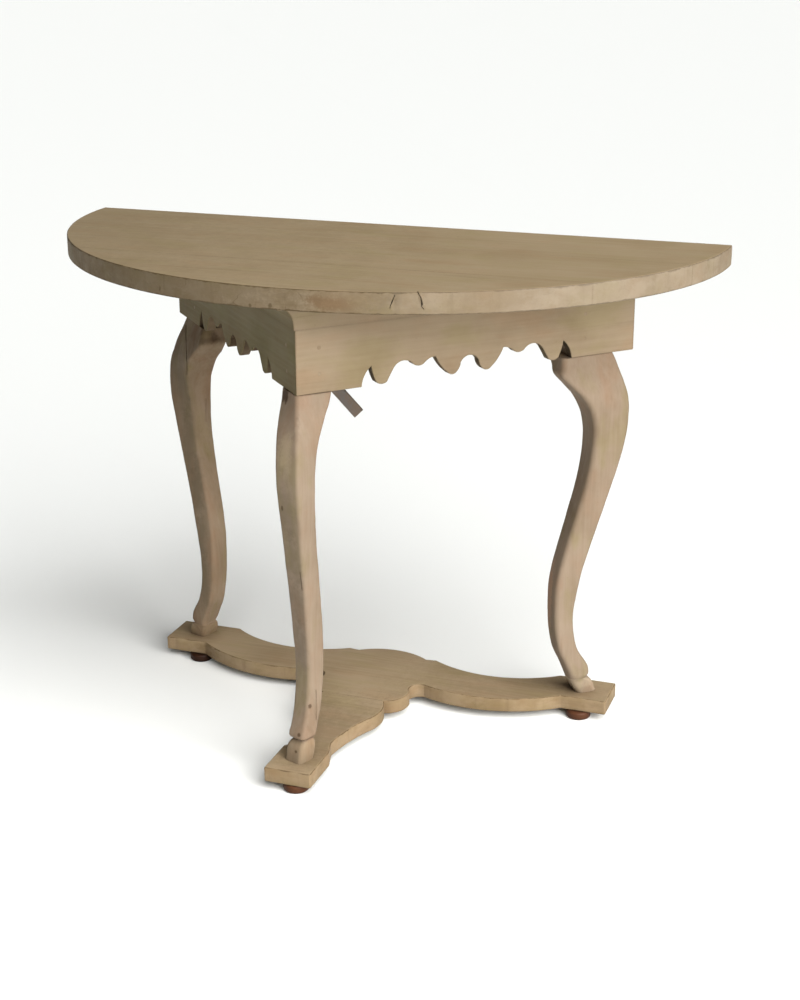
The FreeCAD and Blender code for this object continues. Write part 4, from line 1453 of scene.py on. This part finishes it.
@dataclass
class Platform:
    """Low scrolled platform of a cross board and a front board, on turned feet."""

    thickness: float = 0.024
    pad_side: float = 0.075
    pad_shift: float = 0.007
    half_span: float = 0.3942
    pad_back: float = 0.2205
    front_edge: float = -0.2365
    arris: float = 0.0026
    overrun: float = 0.010
    scroll_shift: float = 0.011
    foot_radius: float = 0.020
    foot_edge: float = 0.004
    foot_bore: float = 0.005
    foot_recess: float = 0.004
    foot_facets: int = 56
    feet: tuple[tuple[str, float, float], ...] = (
        ("front", 0.0, -0.2175), ("right", 0.3402, 0.1575), ("left", -0.3402, 0.1575),
    )

    def point(self, side: int, across: float, forward: float) -> Flat:
        """A point of the outline from its shares."""
        return (side * across * self.half_span, self.pad_back - forward * (self.pad_back - self.front_edge))

    def scroll(self, side: int, across: float, forward: float) -> Flat:
        """A point of the small scroll, which is sawn further out on the left."""
        x, y = self.point(side, across, forward)
        return (x + self.scroll_shift * min(side, 0), y)

    def build(self) -> list[Piece]:
        """Make both boards and the feet.

        Returns:
            The pieces in order.
        """
        pieces = [
            self.board("cross", self.cross_outline(), "platform_cross_board", -1),
            self.board("arm", self.arm_outline(), "platform_front_board", 1),
        ]
        return pieces + [self.foot(*spot) for spot in self.feet]

    def board(self, word: str, outline: list[Flat], node: str, beyond: int) -> Piece:
        """One board of the platform, eased and then sawn off at the joint.

        Args:
            word: which board it is.
            outline: its outline, run on past the joint.
            node: the part of the frame that it stands for.
            beyond: which way the joint faces, 1 to the back and -1 to the front.

        Returns:
            The finished board.
        """
        corners = [(x, y, FOOT_HEIGHT) for x, y in outline]
        board = slab(f"platform_{word}", corners, (0.0, 0.0, self.thickness))
        ease(board, self.arris, 3)
        saw(board, (0.0, self.point(1, *LOBE[:2])[1], 0.0), (0.0, beyond, 0.0))
        smooth(board, FLAT_ANGLE)
        return Piece(board, PLATFORM_FINISH, (node,), trim=PLATFORM_EDGE, trimmed=upright)

    def past_joint(self, side: int, beyond: int) -> Flat:
        """Where a board's outline ends past the joint, before it is sawn."""
        x, y = self.scroll(side, *LOBE[:2])
        return (x, y + beyond * self.overrun)

    def half_cross(self, side: int) -> list[Flat]:
        """One side of the cross board, from the bump at its back to the lobe.

        Args:
            side: 1 for the right and -1 for the left.

        Returns:
            The points in order.
        """
        points = [self.point(side, *BUMP_END), self.point(side, *LIP)]
        points += arc(points[-1], self.point(side, *ARM_BACK[1:]), self.point(side, ARM_BACK[0], 0.0), 24)
        outer = side * self.half_span - self.pad_shift
        points += [(outer, self.pad_back), (outer, self.pad_back - self.pad_side)]
        points += [(outer - side * self.pad_side, self.pad_back - self.pad_side)]
        points += arc(points[-1], self.point(side, *ARM_FRONT[2:]), self.scroll(side, *ARM_FRONT[:2]), 24)
        for row, steps in ((BITE, 12), (LOBE, 14)):
            points += arc(points[-1], self.scroll(side, *row[2:]), self.scroll(side, *row[:2]), steps)
        return points

    def cross_outline(self) -> list[Flat]:
        """Outline of the cross board, run on past the joint.

        Returns:
            Its points in order.
        """
        right, left = self.half_cross(1), self.half_cross(-1)
        bump = arc(left[0], (0.0, self.point(1, 0.0, BUMP_CROWN)[1]), right[0], 16)
        joint = [self.past_joint(1, -1), self.past_joint(-1, -1)]
        return bump + right[1:] + joint + list(reversed(left))

    def half_arm(self, side: int) -> list[Flat]:
        """One side of the front board, from the lobe to the front.

        Args:
            side: 1 for the right and -1 for the left.

        Returns:
            The points in order.
        """
        points = [self.scroll(side, *LOBE[:2])]
        points += arc(points[-1], self.scroll(side, *SHOULDER[2:]), self.point(side, *SHOULDER[:2]), 12)
        points += arc(points[-1], self.point(side, *WAIST[2:]), self.point(side, *WAIST[:2]), 14)
        outer = side * self.pad_side / 2 - self.pad_shift
        return points + [(outer, self.front_edge + self.pad_side), (outer, self.front_edge)]

    def arm_outline(self) -> list[Flat]:
        """Outline of the front board, run on past the joint."""
        right, left = ([self.past_joint(side, 1), *self.half_arm(side)] for side in (1, -1))
        return right + list(reversed(left))

    def foot(self, word: str, x: float, y: float) -> Piece:
        """One turned foot.

        Args:
            word: which foot it is.
            x: how far right it stands.
            y: how far back it stands.

        Returns:
            The finished foot.
        """
        radius, edge, bore, height = self.foot_radius, self.foot_edge, self.foot_bore, FOOT_HEIGHT
        bend = edge * (1 - math.sqrt(0.5))
        profile = [(bore, self.foot_recess), (bore, 0.0), (radius - edge, 0.0)]
        profile += arc(profile[-1], (radius - bend, bend), (radius, edge), 5)
        profile += [(radius, height - edge)]
        profile += arc(profile[-1], (radius - bend, height - bend), (radius - edge, height), 5)
        profile += [(bore, height)]
        foot = turning(f"turned_foot_{word}", profile, (x, y, 0.0), self.foot_facets)
        smooth(foot)
        # The left foot gets the darker finish: painted shade.
        finish = LEFT_FOOT_PAINTED_SHADE if word == "left" else FOOT_FINISH
        return Piece(foot, finish, (f"foot_{word}",))


@dataclass
class LinkBar:
    """Flat iron bar on a pivot at the back rail."""

    length: float = 0.266
    half_width: float = 0.010
    thickness: float = 0.005
    pivot: Place = (-0.257, 0.2360, 0.640)
    slope: float = math.radians(45)
    bore: float = 0.00306
    arris: float = 0.0007

    def build(self) -> list[Piece]:
        """Forge the bar with its round eye.

        Returns:
            The finished bar.
        """
        half = self.half_width
        end = arc((0.0, half), (-half, 0.0), (0.0, -half), 18)
        flat = [*end, (self.length, -half), (self.length, half), (0.0, half)]
        lean, rise = math.cos(self.slope), math.sin(self.slope)
        x, y, z = self.pivot
        outline = [(x + along * lean + across * rise, y, z - along * rise + across * lean)
                   for along, across in flat]
        bar = slab("swing_bar", outline, (0.0, self.thickness, 0.0))
        ease(bar, self.arris)
        self.drill(bar)
        return [Piece(bar, BAR_FINISH, ("link_bar",), "bar")]

    def drill(self, bar: Mesh) -> None:
        """Bore the eye of the bar.

        Args:
            bar: the bar without its hole.
        """
        deselect()
        bpy.ops.mesh.primitive_cylinder_add(
            vertices=40, radius=self.bore, depth=4 * self.thickness, location=self.pivot,
            rotation=(math.pi / 2, 0.0, 0.0),
        )
        subtract(bar, bpy.context.object)
        smooth(bar)


@dataclass
class Studio:
    """Pale floor, soft light and the camera."""

    eye: Place = (0.9107, -2.2835, 1.2528)
    yaw: float = math.radians(19.795)
    pitch: float = math.radians(19.421)
    roll: float = math.radians(0.239)
    focal_pixels: float = 1690.52
    picture_height: float = 1000.0
    sensor: float = 36.0
    floor_size: float = 800.0
    floor_colour: Colour = (0.86, 0.87, 0.85)
    sky_colour: Colour = (0.97, 1.0, 0.96)
    haze: tuple[float, float] = (0.05, 0.09)
    haze_light: float = 1.0
    sky_light: float = 0.03
    box_place: Place = (2.15, -1.30, 1.05)
    box_aim: Place = (0.1, 0.0, 0.55)
    box_size: Flat = (1.4, 1.6)
    box_power: float = 50.0
    box_colour: Colour = (1.0, 0.98, 0.95)
    far_bearing: float = math.radians(40)
    far_height: float = math.radians(41)
    far_spread: float = math.radians(60)
    far_strength: float = 5.3

    def build(self) -> None:
        """Set up the floor, lights and camera."""
        self.floor()
        self.world()
        self.soft_box()
        self.far_light()
        self.camera()
        bpy.context.scene.view_settings.view_transform = "Standard"

    def floor(self) -> None:
        """A wide pale floor."""
        deselect()
        bpy.ops.mesh.primitive_grid_add(
            x_subdivisions=8, y_subdivisions=8, size=self.floor_size, location=(0.0, 0.0, 0.0),
        )
        floor = added("studio_floor")
        board = NodeBoard("pale_floor")
        surface = board.add("ShaderNodeBsdfPrincipled", {
            "Base Color": (*self.floor_colour, 1.0), "Roughness": 0.9, "Specular IOR Level": 0.1,
        })
        floor.data.materials.append(board.close(surface))

    def world(self) -> None:
        """A dim even surround with a pale band at the horizon."""
        world = bpy.data.worlds.new("studio")
        world.use_nodes = True
        tree = world.node_tree
        back = tree.nodes["Background"]
        back.inputs["Color"].default_value = (*self.sky_colour, 1.0)
        look = tree.nodes.new("ShaderNodeTexCoord")
        split = tree.nodes.new("ShaderNodeSeparateXYZ")
        band = tree.nodes.new("ShaderNodeMapRange")
        band.inputs["From Min"].default_value, band.inputs["From Max"].default_value = self.haze
        band.inputs["To Min"].default_value = self.haze_light
        band.inputs["To Max"].default_value = self.sky_light
        tree.links.new(look.outputs["Generated"], split.inputs["Vector"])
        tree.links.new(split.outputs["Z"], band.inputs["Value"])
        tree.links.new(band.outputs["Result"], back.inputs["Strength"])
        bpy.context.scene.world = world

    def soft_box(self) -> None:
        """A tall soft box at the right of the camera, at the height of the table."""
        deselect()
        bpy.ops.object.light_add(type="AREA", location=self.box_place)
        lamp = added("soft_box")
        lamp.data.shape = "RECTANGLE"
        lamp.data.size, lamp.data.size_y = self.box_size
        lamp.data.energy = self.box_power
        lamp.data.color = self.box_colour
        lamp.visible_camera = False
        away = Vector(self.box_place) - Vector(self.box_aim)
        lamp.rotation_euler = away.to_track_quat("Z", "Y").to_euler()

    def far_light(self) -> None:
        """A broad far light from above the front, which keeps the floor even."""
        deselect()
        bpy.ops.object.light_add(type="SUN", location=(0.0, 0.0, 4.0))
        lamp = added("far_light")
        lamp.data.angle = self.far_spread
        lamp.data.energy = self.far_strength
        level, up = math.cos(self.far_height), math.sin(self.far_height)
        away = Vector((level * math.cos(self.far_bearing), -level * math.sin(self.far_bearing), up))
        lamp.rotation_euler = away.to_track_quat("Z", "Y").to_euler()

    def camera(self) -> None:
        """The camera at the photograph's place and angle."""
        deselect()
        bpy.ops.object.camera_add(location=self.eye)
        camera = bpy.context.object
        right = Vector((math.cos(self.yaw), math.sin(self.yaw), 0.0))
        level = math.cos(self.pitch)
        ahead = Vector((-math.sin(self.yaw) * level, math.cos(self.yaw) * level, -math.sin(self.pitch)))
        down = ahead.cross(right)
        across = math.cos(self.roll) * right + math.sin(self.roll) * down
        below = math.cos(self.roll) * down - math.sin(self.roll) * right
        turn = Matrix((across, -below, -ahead)).transposed().to_4x4()
        camera.matrix_world = Matrix.Translation(self.eye) @ turn
        camera.data.sensor_width = self.sensor
        camera.data.lens = self.sensor * self.focal_pixels / self.picture_height
        camera.data.clip_end = self.floor_size
        bpy.context.scene.camera = camera


# Nodes of the frame that stay as they are, with their finishes.
KEPT_NODES: dict[str, WornWood | AgedIron] = {
    "top_board_dowels": DOWEL_FINISH,
    "platform_dowels": DOWEL_FINISH,
    "top_screws": SCREW_FINISH,
    "foot_screws": SCREW_FINISH,
    "link_pivot_screw": SCREW_FINISH,
    "link_washer": SCREW_FINISH,
    "apron_rail_back": PLAIN_FINISH,
    "centre_bearer": PLAIN_FINISH,
    "glue_blocks": PLAIN_FINISH,
}


def main() -> None:
    """Build the table and its studio, and report each piece."""
    logging.basicConfig(level=logging.INFO, format="%(name)s: %(message)s")
    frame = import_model()
    book = FinishBook()
    assemblies = (
        TableTop(),
        Apron(),
        SideLeg(
            "cabriole_right", "leg_right", side=Side.RIGHT, twist=math.radians(-9), girth=1.04,
            leg_round=0.010,
        ),
        SideLeg(
            "cabriole_left", "leg_left", side=Side.LEFT, twist=math.radians(29), girth=0.97,
            ear_growth=0.012, ear_depth=0.024, checks=LEFT_CHECKS, finish=LEFT_LEG_TONE_AND_SHADE,
            hoof_painted_light=LEFT_HOOF_PAINTED_LIGHT,
        ),
        FrontLeg("cabriole_front", "leg_front", checks=FRONT_CHECKS, hoof_painted_light=FRONT_HOOF_PAINTED_LIGHT),
        Platform(),
        LinkBar(),
    )
    for assembly in assemblies:
        for piece in assembly.build():
            piece.dress(book)
    for node, finish in KEPT_NODES.items():
        materials = frame["nodes"][node].data.materials
        materials.clear()
        materials.append(book.material(finish))
        LOG.info("%s: kept, in %s", node, finish.name)
    Studio().build()


if __name__ == "__main__":
    main()
